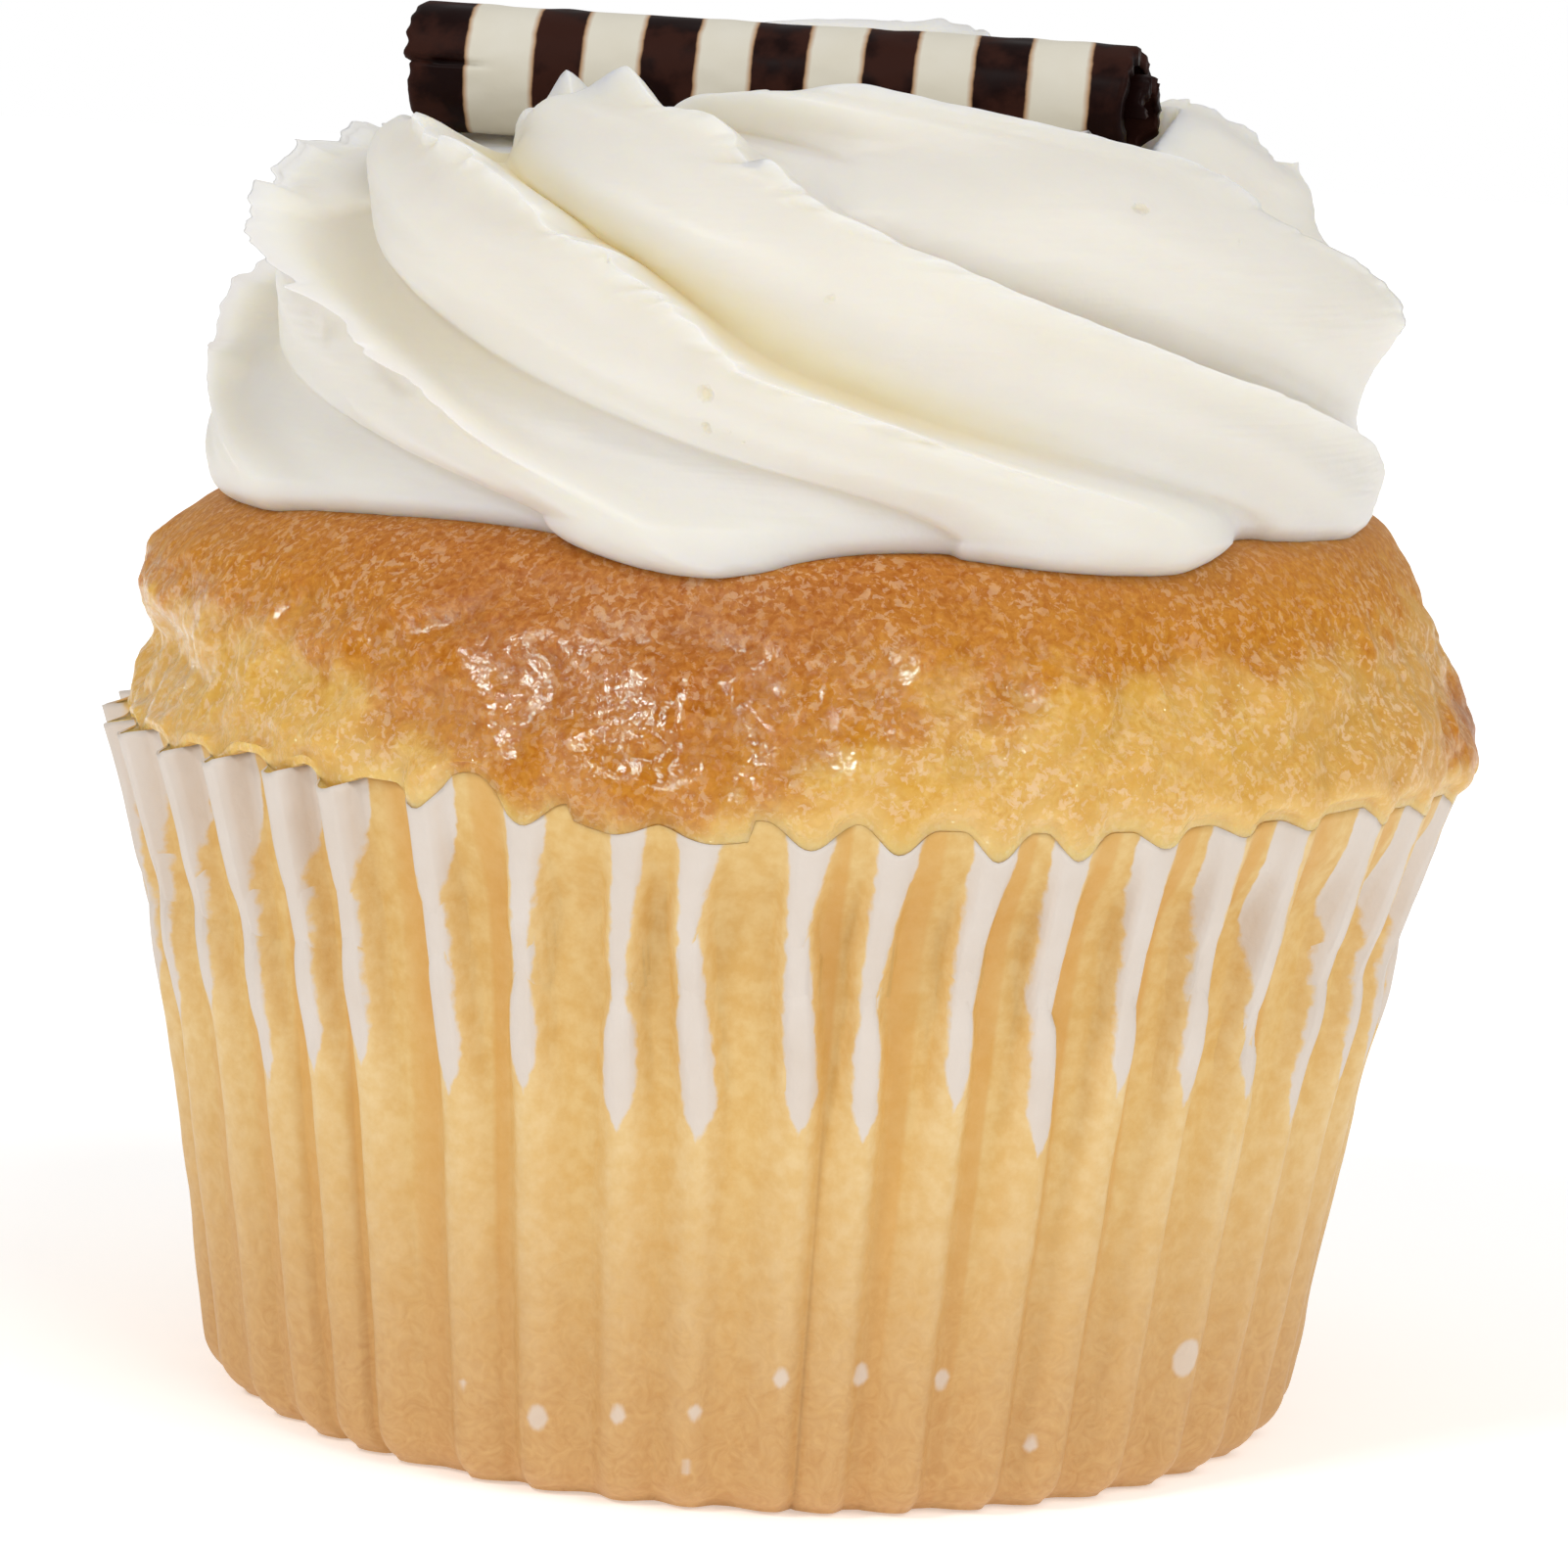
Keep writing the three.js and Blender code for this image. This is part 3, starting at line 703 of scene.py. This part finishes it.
frosting = {
    # a blade's crest follows one line and the furrows another: radius, height, from the foot
    # over the crown to the middle of the hollow at the top
    "crest": [
        (28.4, 44.2), (29.5, 46.6), (29.8, 50), (29.8, 54), (29.5, 58), (27.1, 61.5), (23.6, 64.5),
        (18.9, 66.8), (14.6, 65.8), (9.5, 63.8), (0, 63),
    ],
    "furrow": [
        (28, 44.2), (28.2, 46.6), (26.4, 50), (23.6, 53.4), (21.2, 56.8), (18.8, 59.8), (16.2, 62),
        (13.4, 63.2), (10.6, 63.5), (7, 63.2), (0, 63),
    ],
    "lobeAt": -96, "lobeWidth": 12, "lobeSpread": 1.2,  # the blade that bulges most at the left
    "bladeFoot": 0.8,  # mm that each blade's end bulges over the crust
    "lip": 1.5,  # mm, width of a crest's flared lip
    "ragged": [1.0, 1.3, 0.8, 0.45, 0.7, 0.8, 0.8],  # mm, height of each crest's torn edge
    # painted shade: how yellow the furrow behind each crest is painted, for the tinted shade deep in it
    "furrowShadeTint": [0.64, 1.1, 0.35, 0.65, 0.7, 0.7, 0.7],  # how yellow the furrow behind each crest is
    "gentle": [0, 0, 1, 1, 0.6, 0, 0],  # how slowly each face rises from its furrow
    "flared": [1, 0, 0, 0, 0, 0, 0.5],  # how hollow each face is under its lip
    "bowl": [0.24, 0, 0, 0, 0, 0, 0],  # how wide the drop behind each crest is near the top
    "slump": 0.7, "slumpAbove": 70,  # the share that the tallest points lose, and above what height
    "tuck": 0.75,  # mm that the foot is rounded under where it meets the crust
    "grain": 0.035,
    "base": 42.6,  # height of the underside, sunk in the cake
}
# for each blade: angle of its crest at knots 1 to 8, share of its bulging face at knots 1, 3, 5
# and 7, how far the furrow in front of it is filled at the same knots, how far its crown is
# raised, the knot where it ends, and how many knots that end takes
blades = [
    ((-105, -120, -135, -154, -169, -185, -206, -222),
     (0.2, 0.72, 0.66, 0.66), (0.2, 0.35, 0.3, 0.2), -1.5, 7.4, 0.7),
    ((-54, -72, -95, -107, -124, -144, -165, -180),
     (0.45, 0.68, 0.66, 0.66), (0.4, 0.62, 0.42, 0.3), -0.6, 5.9, 0.45),
    ((0, -13, -44, -71, -89, -101, -129, -146),
     (0.75, 0.88, 0.9, 0.72), (0.6, 0.68, 0.68, 0.3), 0, 7.3, 0.7),
    ((48, 33, 9, -9, -32, -44, -86, -104),
     (0.75, 0.88, 0.92, 0.6), (0.6, 0.64, 0.64, 0.3), 0, 7.5, 0.7),
    ((103, 88, 66, 44, 24, 13, 10, 4),
     (0.6, 0.75, 0.78, 0.4), (0.3, 0.4, 0.4, 0.3), 0.2, 7.2, 0.7),
    ((156, 140, 118, 96, 74, 56, 42, 28),
     (0.55, 0.75, 0.75, 0.75), (0.2, 0.2, 0.2, 0.2), 2.6, 7.5, 0.7),
    ((208, 192, 172, 150, 128, 112, 74, 52),
     (0.5, 0.72, 0.72, 0.72), (0.2, 0.2, 0.2, 0.2), 4.4, 7.5, 0.7),
]
# where a crest bends sideways: blade, knot, width in knots, degrees
bends = [(1, 1.5, 0.4, 5), (0, 0.1, 0.55, 8)]
# where the nozzle left a crest in points: blade, knot, width in knots, rise in mm
peaks = [
    (1, 5.85, 0.22, 0.5), (1, 5.3, 0.12, 0.4), (2, 7.1, 0.5, -1.4), (2, 7.36, 0.17, -1.3),
    (2, 7.08, 0.09, 1.7), (2, 6.8, 0.1, -1.3), (2, 6.55, 0.12, 1.5), (2, 6.05, 0.2, 0.7),
    (1, 4.95, 0.6, 1.0), (1, 4.45, 0.1, -0.5), (1, 4.1, 0.14, 0.4), (1, 3.5, 0.2, 0.5),
    (2, 5.6, 0.09, -0.6), (2, 5.45, 0.1, 0.4), (0, 4.6, 0.12, 0.6), (0, 4.95, 0.14, -0.4),
    (0, 5.4, 0.12, 0.4), (0, 6.1, 0.15, 0.5), (3, 6.9, 0.3, 0.25), (3, 7.25, 0.2, -0.7),
    (6, 2.3, 0.15, 0.7), (6, 2.7, 0.12, -0.5), (6, 3.1, 0.15, 0.6), (5, 6.2, 0.2, 0.7),
    (6, 6.6, 0.2, 0.8), (6, 7.1, 0.12, 0.8), (4, 5.6, 0.14, 0.6), (4, 6.3, 0.14, 0.4),
]
# where the frosting stands out further, or less: angle, knot, their widths, mm
swells = [
    (2, 2.75, 16, 0.6, -1.9), (0, 3.5, 14, 0.5, 0.7), (-2, 1.0, 14, 0.6, -1.5), (-56, 0.9, 9, 0.8, 0.9),
    (-100, 0.5, 12, 0.7, 0.5), (14, 4.95, 16, 0.35, -1.5), (14, 5.6, 16, 0.3, 0.9),
]
# where the bed under the roll sinks: x, y, width, depth
sunken = [(-15, -6, 4.5, 1.1), (-18, 2, 5, 1.8), (-14.5, -13.5, 1.9, 1.5)]
# the roll, which the frosting makes room for
roll = {
    "centre": (-1.9, 0.4, 66.5), "radius": 3.3, "length": 38.6, "yaw": -16, "dip": 0.45, "room": 0.12,
    "sheet": 0.85, "slit": 0.2, "windings": 1.6, "perTurn": 120,  # points of the section in a turn
    "seam": 65, "crack": 265,  # degrees round the section, from below
    "dive": 1.2,  # radians over which the sheet dips under its own edge
    "short": 0.75, "chip": 0.35,  # mm lost at the right by the outer turn, at the left above the crack
    "crackDepth": 0.6, "crackWidth": 0.035, "crackEnds": (2.5, 5.5),  # it ends so far from the left
    "slant": 0.17,  # how much the stripes lean round the roll
}


def crestAngle(blade, knot):  # past the last blade they go on round, a turn further
    crest = blades[blade % len(blades)][0]
    bent = sum(by * bump(knot, at, wide) for which, at, wide, by in bends if which == blade % len(blades))
    return spline(crest, knot - 1) + bent + 360 * (blade // len(blades))


def pressedHeight(x, y, z):
    # the frosting is pressed down under the roll, and leans away from it at both sides
    yaw = math.radians(roll["yaw"])
    centreX, centreY, centreZ = roll["centre"]
    along = (x - centreX) * math.cos(yaw) + (y - centreY) * math.sin(yaw)
    aside = np.abs((y - centreY) * math.cos(yaw) - (x - centreX) * math.sin(yaw))
    bore = roll["radius"] + roll["room"]
    axisHeight = centreZ - along * math.tan(math.radians(roll["dip"]))
    past = np.maximum(0, np.abs(along) - roll["length"] / 2 - 0.3)
    under = np.where(aside < bore, -np.sqrt(np.maximum(0, bore ** 2 - aside ** 2)), (aside - bore) * 2.5)
    return np.minimum(z, axisHeight + under + past * 5)


def frostingSection(face, span, rounded, gentle, flared, bowl, across):
    # share of the way from one crest to the next, and nearness to the crest line: a thin lip
    # with a steep drop behind it, a low furrow, and a bulging face that rises and flares into
    # the next lip. Near the foot of the swirl the lips are rounded over; some faces rise
    # slowly, and some are hollow under a flared lip
    foot = 1 - face
    behind = 0.3 / span + 0.04 * rounded
    drop = behind + 0.5 / span + 0.05 * foot + 0.06 * rounded + bowl
    foot = np.maximum(foot, drop + 0.7 / span)
    face = 1 - foot
    lip = frosting["lip"] / span
    share = [0 * face, behind, drop, (drop + foot) / 2, foot, foot + 0.1 * face, foot + 0.42 * face,
             1 - lip, 1 + 0 * face]
    sharp = np.array([1, 0.84, 0.24, 0.02, 0.1, 0.46, 0.84, 0.93, 1])
    slow = np.array([1, 0.84, 0.34, 0.1, 0.14, 0.34, 0.78, 0.95, 1])
    blunt = np.array([1, 0.96, 0.62, 0.1, 0.12, 0.5, 0.88, 0.98, 1])
    hollow = np.array([1, 0.84, 0.3, 0.06, 0.1, 0.2, 0.42, 0.66, 1])
    near = sharp + (slow - sharp) * gentle + (hollow - sharp) * flared
    near = near[:, None] + (blunt - near)[:, None] * rounded
    return spline(np.array(share), across).T, spline(near, across).T


def bladeSurface(blade, knot, across, crest, furrow, rounded):
    # points from this crest to the next, furrow line + (crest line - furrow line) * nearness to a
    # crest, and how much yellow painted shade they get, more deep in the furrows
    following = (blade + 1) % len(blades)
    k = knot[:, None]
    faceShares, filled = blades[following][1:3]
    start, stop = crestAngle(blade, knot)[:, None], crestAngle(blade + 1, knot)[:, None]
    span = np.radians(stop - start)[:, 0] * np.maximum(crest[:, 0], 6)
    face = spline(faceShares, (knot - 1) / 2)
    gentle, flared = (frosting[label][following] for label in ("gentle", "flared"))
    bowl = frosting["bowl"][blade] * smooth(knot, 4.3, 5.1)
    share, near = frostingSection(face, span, rounded, gentle, flared, bowl, across)
    yellow = frosting["furrowShadeTint"][blade] * (1 - near)
    filled = (spline(filled, (knot - 1) / 2) * smooth(knot, 0.2, 1.6))[:, None]
    near = filled + (1 - filled) * near
    angle = start + share * (stop - start)
    lift, end, run = (a + (b - a) * share for a, b in zip(blades[blade][3:], blades[following][3:]))
    height = near * (1 - smooth(k, end, end + run))

    # the torn edge of a crest: teeth and scallops along it, fading over a mm or two
    side = np.where(share < 0.5, blade, following)
    away = np.minimum(share * 1.6, 1 - share) * span[:, None]
    edge = bump(away, 0, 0.9) * smooth(k, 1.6, 3.2) * (1 - smooth(k, end - 0.2, end + run))
    teeth = 0.45 - np.abs(noise(k * 3.1, side * 7.3, 0.5)) + 0.35 * noise(k * 9, side * 3.1, 4.5)
    teeth = teeth + 0.34 * noise(k * 15, side * 3.1, 9.5)
    ragged = np.array(frosting["ragged"])[side]
    bend = 0.8 * noise(k * 2.1, side * 5.3, 8.5) + 0.5 * noise(k * 7.5, side * 2.3, 2.5)
    bend = ragged * bend * edge + 0.3 * noise(k * 0.9, side * 4.1, 6.5) * bump(away, 0, 3)
    peak = sum(
        up * bump(k, at, wide) * (side == tip) * bump(away, 0, 1.7 if up > 0 or wide < 0.17 else 3.2)
        for tip, at, wide, up in peaks
    )
    # soft waves along the face, as the nozzle left them
    waves = 0.16 * noise(share * 5, k * 0.8, blade * 5.5)
    waves = waves + 0.08 * noise(share * 13, k * 1.6, blade * 2.5)
    waves = waves * smooth(near, 0, 0.4) * (1 - bump(away, 0, 1.5))
    toCrest = crest - furrow
    reach = np.maximum(np.hypot(toCrest[:, 0], toCrest[:, 1]), 1.5)[:, None]
    height = height + (ragged * teeth * edge + waves) / reach
    lobe = bump(turn(angle, frosting["lobeAt"]), 0, frosting["lobeWidth"]) * bump(k, 0, 1.6)
    radius = furrow[:, :1] + toCrest[:, :1] * height + frosting["lobeSpread"] * lobe
    radius = radius + frosting["bladeFoot"] * np.clip(height, 0, 1) ** 1.5 * bump(k, 0.7, 1.2)
    for where, at, wide, tall, out in swells:
        radius = radius + out * bump(turn(angle, where), 0, wide) * bump(k, at, tall)
    z = furrow[:, 1:] + toCrest[:, 1:] * height + lift * height * bump(k, 7, 1.7) + peak
    points = polar(radius, angle + np.degrees(bend / np.maximum(radius, 3)), z)
    for x, y, wide, deep in sunken:
        z = z - deep * bump(np.hypot(points[..., 0] - x, points[..., 1] - y), 0, wide)
    points[..., 2] = pressedHeight(points[..., 0], points[..., 1], z)
    return points, np.broadcast_to(yellow, points.shape[:2])


def crustBelow(angle, radius):
    # height of the crust at these places, from a table of it every 3 degrees and half a mm,
    # with straight lines between its entries
    lines = crustPoint(np.arange(-180.0, 180, 3), np.linspace(3, 8, 60))
    table = np.stack([np.interp(np.arange(12, 35, 0.5), line[::-1, 0], line[::-1, 1]) for line in lines])
    a = (angle + 180) / 3
    b = np.clip((radius - 12) / 0.5, 0, 45)
    i, j = np.floor(a).astype(int) % 120, np.minimum(np.floor(b).astype(int), 44)
    u, v = a - np.floor(a), b - j
    return (
        table[i, j] * (1 - u) * (1 - v) + table[(i + 1) % 120, j] * u * (1 - v)
        + table[i, j + 1] * (1 - u) * v + table[(i + 1) % 120, j + 1] * u * v
    )


def makeFrosting():
    across = spread([0, 1, 2, 3, 4, 5, 6, 7, 8], [3, 4, 4, 4, 5, 8, 8, 7])[:-1]
    knot = spread([0, 1.2, 6, 8.2, 9.7], [24, 196, 92, 14])
    crest, furrow = spline(frosting["crest"], knot), spline(frosting["furrow"], knot)
    rounded = 1 - smooth(knot, 0.6, 2.6)
    parts = [bladeSurface(blade, knot, across, crest, furrow, rounded) for blade in range(len(blades))]
    rings = np.concatenate([points for points, _ in parts], 1)
    # painted shade: the yellow in the furrows fades out towards the foot
    yellow = np.concatenate([tint for _, tint in parts], 1) * smooth(knot, 1, 3)[:, None]
    rings[..., 2] -= frosting["slump"] * np.maximum(0, rings[..., 2] - frosting["slumpAbove"])

    # round the foot under where it meets the crust
    angle = np.degrees(np.arctan2(rings[..., 1], rings[..., 0]))
    radius = np.hypot(rings[..., 0], rings[..., 1])
    clear = rings[..., 2] - crustBelow(angle, radius)
    tuck = frosting["tuck"] * np.clip(1 - clear / 1.3, 0, 1.6) ** 2
    rings[..., :2] *= ((radius - tuck) / radius)[..., None]

    grain = frosting["grain"] * roughNoise(rings, 0.9)
    rings[..., :2] += rings[..., :2] / np.maximum(radius, 4)[..., None] * grain[..., None]
    base = rings[0] * (0.93, 0.93, 1)
    base[:, 2] = frosting["base"]
    rings = np.concatenate([base[None], rings])
    yellow = np.concatenate([yellow[:1], yellow])
    top = pressedHeight(np.zeros(1), np.zeros(1), np.array([frosting["crest"][-1][1]]))[0]
    return ringMesh("piped_swirl", (0, 0, frosting["base"]), rings, (0, 0, top), {"yellow": yellow})


# small pits in the faces and dark specks on them: x, y, z, size in mm
pits = [
    (15.3, -21.2, 62.0, 0.5), (14.4, -21.8, 61.1, 0.34), (20.2, -18.6, 60.5, 0.3),
    (1.2, -28.9, 57.5, 0.36), (-4.3, -29.2, 52.7, 0.5), (-4.8, -29.1, 52.3, 0.35),
    (-4.0, -29.3, 51.2, 0.35), (-2.4, -29.5, 50.9, 0.3), (-3.1, -29.4, 51.1, 0.28),
    (6.5, -28.3, 60.1, 0.25), (-9.1, -27.6, 58.4, 0.22),
]
specks = [(-10.0, -27.1, 57.6, 0.16), (-10.0, -27.1, 57.4, 0.12), (-7.2, -28.4, 52.7, 0.13)]


def nearSpots(add, place, spots, edge):
    # 1 within each spot, falling to 0 over its edge: the greatest of clipped (size - distance) / edge
    inside = []
    for x, y, z, size in spots:
        away = add("VectorMath", {0: place, 1: (x * mm, y * mm, z * mm)}, operation="DISTANCE")
        ends = {"From Min": size * mm, "From Max": (size - edge) * mm}
        inside.append(add("MapRange", {"Value": away, **ends}))
    return greatest(add, inside)


def buttercream():
    # buttercream, piped: a soft satin cream that light sinks into, with painted shade: yellower deep in the
    # furrows and in the pits
    material, add, surface, place, yellow = startMaterial("buttercream, piped", "yellow")
    cloud = add("TexNoise", {"Vector": place, "Scale": cells(0.12), "Detail": 2})
    # places shifted by up to 0.25 mm, so that the pits are uneven
    shift = add("TexNoise", {"Vector": place, "Scale": cells(1.1), "Detail": 2}).outputs["Color"]
    centred = add("VectorMath", {0: shift, 1: (0.5, 0.5, 0.5)}, operation="SUBTRACT")
    shifted = add("VectorMath", {0: centred, 1: (mm, mm, mm), 2: place}, operation="MULTIPLY_ADD")
    pitted = nearSpots(add, shifted, pits, 0.3)
    speckled = nearSpots(add, place, specks, 0.05)
    # painted shade: the furrows, and the pits at 0.3, are painted yellow
    paintedFurrowShade = add(
        "MapRange", {"Value": yellow, "From Min": 0.3, "From Max": 1, "To Max": 0.6},
        interpolation_type="SMOOTHSTEP"
    )
    deep = add("Math", {0: pitted, 1: 0.3, 2: paintedFurrowShade}, operation="MULTIPLY_ADD", use_clamp=True)
    cream = add("Mix", {0: cloud, 6: "#e2ddd2", 7: "#e9e5dd"}, data_type="RGBA")
    shadeTinted = add("Mix", {0: deep, 6: cream, 7: "#e9d99c"}, data_type="RGBA")
    colour = add("Mix", {0: speckled, 6: shadeTinted, 7: "#4a4038"}, data_type="RGBA")
    skin = add("TexNoise", {"Vector": place, "Scale": cells(0.8), "Detail": 4})
    soft = add("Bump", {"Height": skin, "Strength": 0.25, "Distance": 0.2 * mm})
    relief = add(
        "Bump", {"Height": pitted, "Strength": 0.7, "Distance": 0.3 * mm, "Normal": soft}, invert=True
    )
    setSockets(surface, {
        "Base Color": colour, "Roughness": 0.42, "IOR": 1.46, "Specular IOR Level": 0.4, "Normal": relief,
        "Subsurface Weight": 0.85, "Subsurface Radius": (1.0, 0.85, 0.5), "Subsurface Scale": 3.8 * mm,
    })
    return material


dress(makeFrosting(), "frosting", buttercream())


# chocolate roll

def makeRoll():
    # a spiral section carried along the axis: the radius shrinks by one sheet and a slit each
    # turn, and dips under its own outer edge. The ends are broken off unevenly
    perTurn = roll["perTurn"]
    angle = np.arange(round(perTurn * roll["windings"]) + 1) / perTurn * 2 * np.pi
    under = smooth(angle, 2 * np.pi - roll["dive"], 2 * np.pi)
    wound = np.maximum(0, angle / (2 * np.pi) - 1)
    outerRadius = roll["radius"] - (roll["sheet"] + roll["slit"]) * (under + wound)
    direction = angle + math.radians(roll["seam"])
    # points on the outside and on the inside of the sheet, x down and y across the axis
    outer, inner = (
        np.stack([radius * np.cos(direction), radius * np.sin(direction)], -1)
        for radius in (outerRadius, outerRadius - roll["sheet"])
    )
    loop = np.concatenate([outer, inner[::-1]])
    turns = np.concatenate([direction, direction[::-1]])
    wrapped = np.concatenate([angle, angle[::-1]])
    along = spread([-0.5, -0.47, 0.47, 0.5], [8, 180, 8])[:, None]
    end = np.sign(along)
    broken = 0.28 * noise(turns * 1.7, 3.5, end * 4) + 0.2 * noise(turns * 6, 8.5, end * 4)
    # the broken end only moves what is close to it, and at the right the inner turn sticks out
    nearEnd = smooth(np.abs(along), 0.46, 0.5)
    short = roll["short"] * (1 - smooth(wrapped, 2 * np.pi - 0.4, 2 * np.pi)) * (along > 0)
    s = along * roll["length"] - end * (np.abs(broken) + short) * nearEnd
    # a crack runs in from the left end, where the upper side has lost a little more
    fromCrack = (turns - math.radians(roll["crack"]) + np.pi) % (2 * np.pi) - np.pi
    s = s + roll["chip"] * smooth(fromCrack, -0.03, 0.03) * (fromCrack < 1.6) * nearEnd * (along < 0)
    fromLeft = s + roll["length"] / 2
    crackDepth = roll["crackDepth"] * (1 - smooth(fromLeft, *roll["crackEnds"]))
    crack = crackDepth * bump(fromCrack + 0.03 * noise(s * 1.5, 0.5, 0.5), 0, roll["crackWidth"])
    worn = 0.05 * noise(np.cos(turns) * 4, np.sin(turns) * 4, s * 0.7) - crack
    size = 1 - 0.035 * bump(np.abs(along), 0.5, 0.004) + worn / roll["radius"]
    local = np.stack(np.broadcast_arrays(loop[:, 0] * size, loop[:, 1] * size, s), -1)
    yaw, tilt = math.radians(roll["yaw"]), math.radians(90 + roll["dip"])
    rotation = np.array(Matrix.Rotation(yaw, 3, "Z") @ Matrix.Rotation(tilt, 3, "Y"))
    points = local @ rotation.T + np.array(roll["centre"])
    rows, columns = points.shape[:2]
    i = np.arange(len(outer) - 1)
    leftCap = np.stack([columns - 1 - i, columns - 2 - i, i + 1, i], -1)
    rightCap = leftCap[:, ::-1] + (rows - 1) * columns
    faces = [ringQuads(rows, columns), leftCap, rightCap]
    attributes = {"along": fromLeft + (local[..., 1] + 2.3) * roll["slant"]}
    return makeMesh("rolled_chocolate", points.reshape(-1, 3), faces, attributes)


# where the dark stripes start and end along the roll, in mm from its left end
darkStripes = [(-1, 3.3), (7, 9.5), (12.7, 15.5), (18.5, 21.3), (24.3, 26.9), (30, 32.7), (35.9, 40)]


def stripedChocolate():
    # dark and white chocolate spread in stripes and rolled up: semi-gloss, with dusty patches on
    # the dark stripes and a thin tan line where the two run into each other
    material, add, surface, place, along = startMaterial("chocolate, striped and rolled", "along")
    wave = add("TexNoise", {"Vector": place, "Scale": cells(0.9), "Detail": 3})
    wavy = wandering(add, along, wave, 0.2)
    depths = []
    for start, end in darkStripes:
        offset = add("Math", {0: wavy, 1: (start + end) / 2}, operation="SUBTRACT")
        away = add("Math", {0: offset}, operation="ABSOLUTE")
        depths.append(add("Math", {0: (end - start) / 2, 1: away}, operation="SUBTRACT"))
    inside = greatest(add, depths)  # mm inside the nearest dark stripe
    dark = add("MapRange", {"Value": inside, "From Min": -0.05, "From Max": 0.05})
    tan = add("MapRange", {"Value": inside, "From Min": -0.3, "From Max": -0.04, "To Max": 0.85})
    cloud = add("TexNoise", {"Vector": place, "Scale": cells(0.35), "Detail": 4})
    dusty = add(
        "MapRange", {"Value": cloud, "From Min": 0.4, "From Max": 0.58}, interpolation_type="SMOOTHSTEP"
    )
    white = add("Mix", {0: cloud, 6: "#d5cebb", 7: "#dedace"}, data_type="RGBA")
    brown = add("Mix", {0: dusty, 6: "#170604", 7: "#331a13"}, data_type="RGBA")
    base = add("Mix", {0: tan, 6: white, 7: "#a8794c"}, data_type="RGBA")
    colour = add("Mix", {0: dark, 6: base, 7: brown}, data_type="RGBA")
    rough = add("MapRange", {"Value": dusty, "To Min": 0.42, "To Max": 0.6})
    fine = add("TexNoise", {"Vector": place, "Scale": cells(0.8), "Detail": 4})
    relief = add("Bump", {"Height": fine, "Strength": 0.2, "Distance": 0.1 * mm})
    setSockets(surface, {
        "Base Color": colour, "Roughness": rough, "Specular IOR Level": 0.06, "Normal": relief,
    })
    return material


dress(makeRoll(), "chocolate_roll", stripedChocolate())


# floor, light and backdrop

light = {
    "backdrop": 1.0, "sky": 0.485,  # what is seen behind, and what lights the cake from all round
    # two soft lamps, then two that only glint on the wet crumb: strength, width as seen in
    # degrees, angle from the front, height
    "left": (0.8, 10, -41, 44), "right": (0.9, 36, 40, 46),
    "glint": (2.8, 17, -34, 42), "window": (2.0, 16, -24, 14),
    "glintColour": (0.68, 1, 0.96),  # short of red, so that glints look white on orange crumb
    "floorGlow": 0.34,  # the floor is lit a little from below
}


def makeLights():
    wetPieces = bpy.data.collections.new("wet crumb")
    wetPieces.objects.link(bpy.data.objects["sponge"])
    for name in ("left", "right", "glint", "window"):
        strength, width, fromFront, up = light[name]
        data = bpy.data.lights.new(name, "SUN")
        data.energy, data.angle = strength, math.radians(width)
        lamp = bpy.data.objects.new(name, data)
        way = Vector(polar(math.cos(math.radians(up)), fromFront - 90, math.sin(math.radians(up))))
        lamp.rotation_euler = (-way).to_track_quat("-Z", "Y").to_euler()
        bpy.context.collection.objects.link(lamp)
        if name in ("glint", "window"):
            data.color = light["glintColour"]
            lamp.visible_diffuse = False
            lamp.light_linking.receiver_collection = wetPieces


def whiteCard():
    # matt white card, faintly mottled
    material, add, surface, place = startMaterial("card, matt white")
    mottle = add("TexNoise", {"Vector": place, "Scale": cells(0.06)})
    colour = add("Mix", {0: mottle, 6: "#fafafa", 7: "#fdfdfd"}, data_type="RGBA")
    setSockets(surface, {
        "Base Color": colour, "Roughness": 0.9, "Specular IOR Level": 0.1,
        "Emission Color": (1, 1, 1, 1), "Emission Strength": light["floorGlow"],
    })
    return material


def makeStage():
    # a disc of white card, level with the case's base: rings at four radii, their faces upwards
    count = 96
    ring = polar(1, np.arange(count) * 360 / count, 0)
    radii = np.array([60, 200, 1200, 4000])[:, None, None]
    points = (ring[None] * radii).reshape(-1, 3)
    faces = [ringQuads(len(radii), count)[:, [0, 3, 2, 1]], np.arange(count)[None]]
    floor = makeMesh("floor", points, faces, {})
    floor.data.materials.append(whiteCard())
    world = bpy.data.worlds.new("studio")
    world.use_nodes = True
    add = partial(addNode, world.node_tree)
    seen = add("LightPath").outputs["Is Camera Ray"]
    strength = add("MapRange", {"Value": seen, "To Min": light["sky"], "To Max": light["backdrop"]})
    setSockets(world.node_tree.nodes["Background"], {"Color": (1, 1, 1, 1), "Strength": strength})
    bpy.context.scene.world = world


makeStage()
makeLights()
bpy.context.scene.view_settings.view_transform = "Standard"
print("stage and lights")
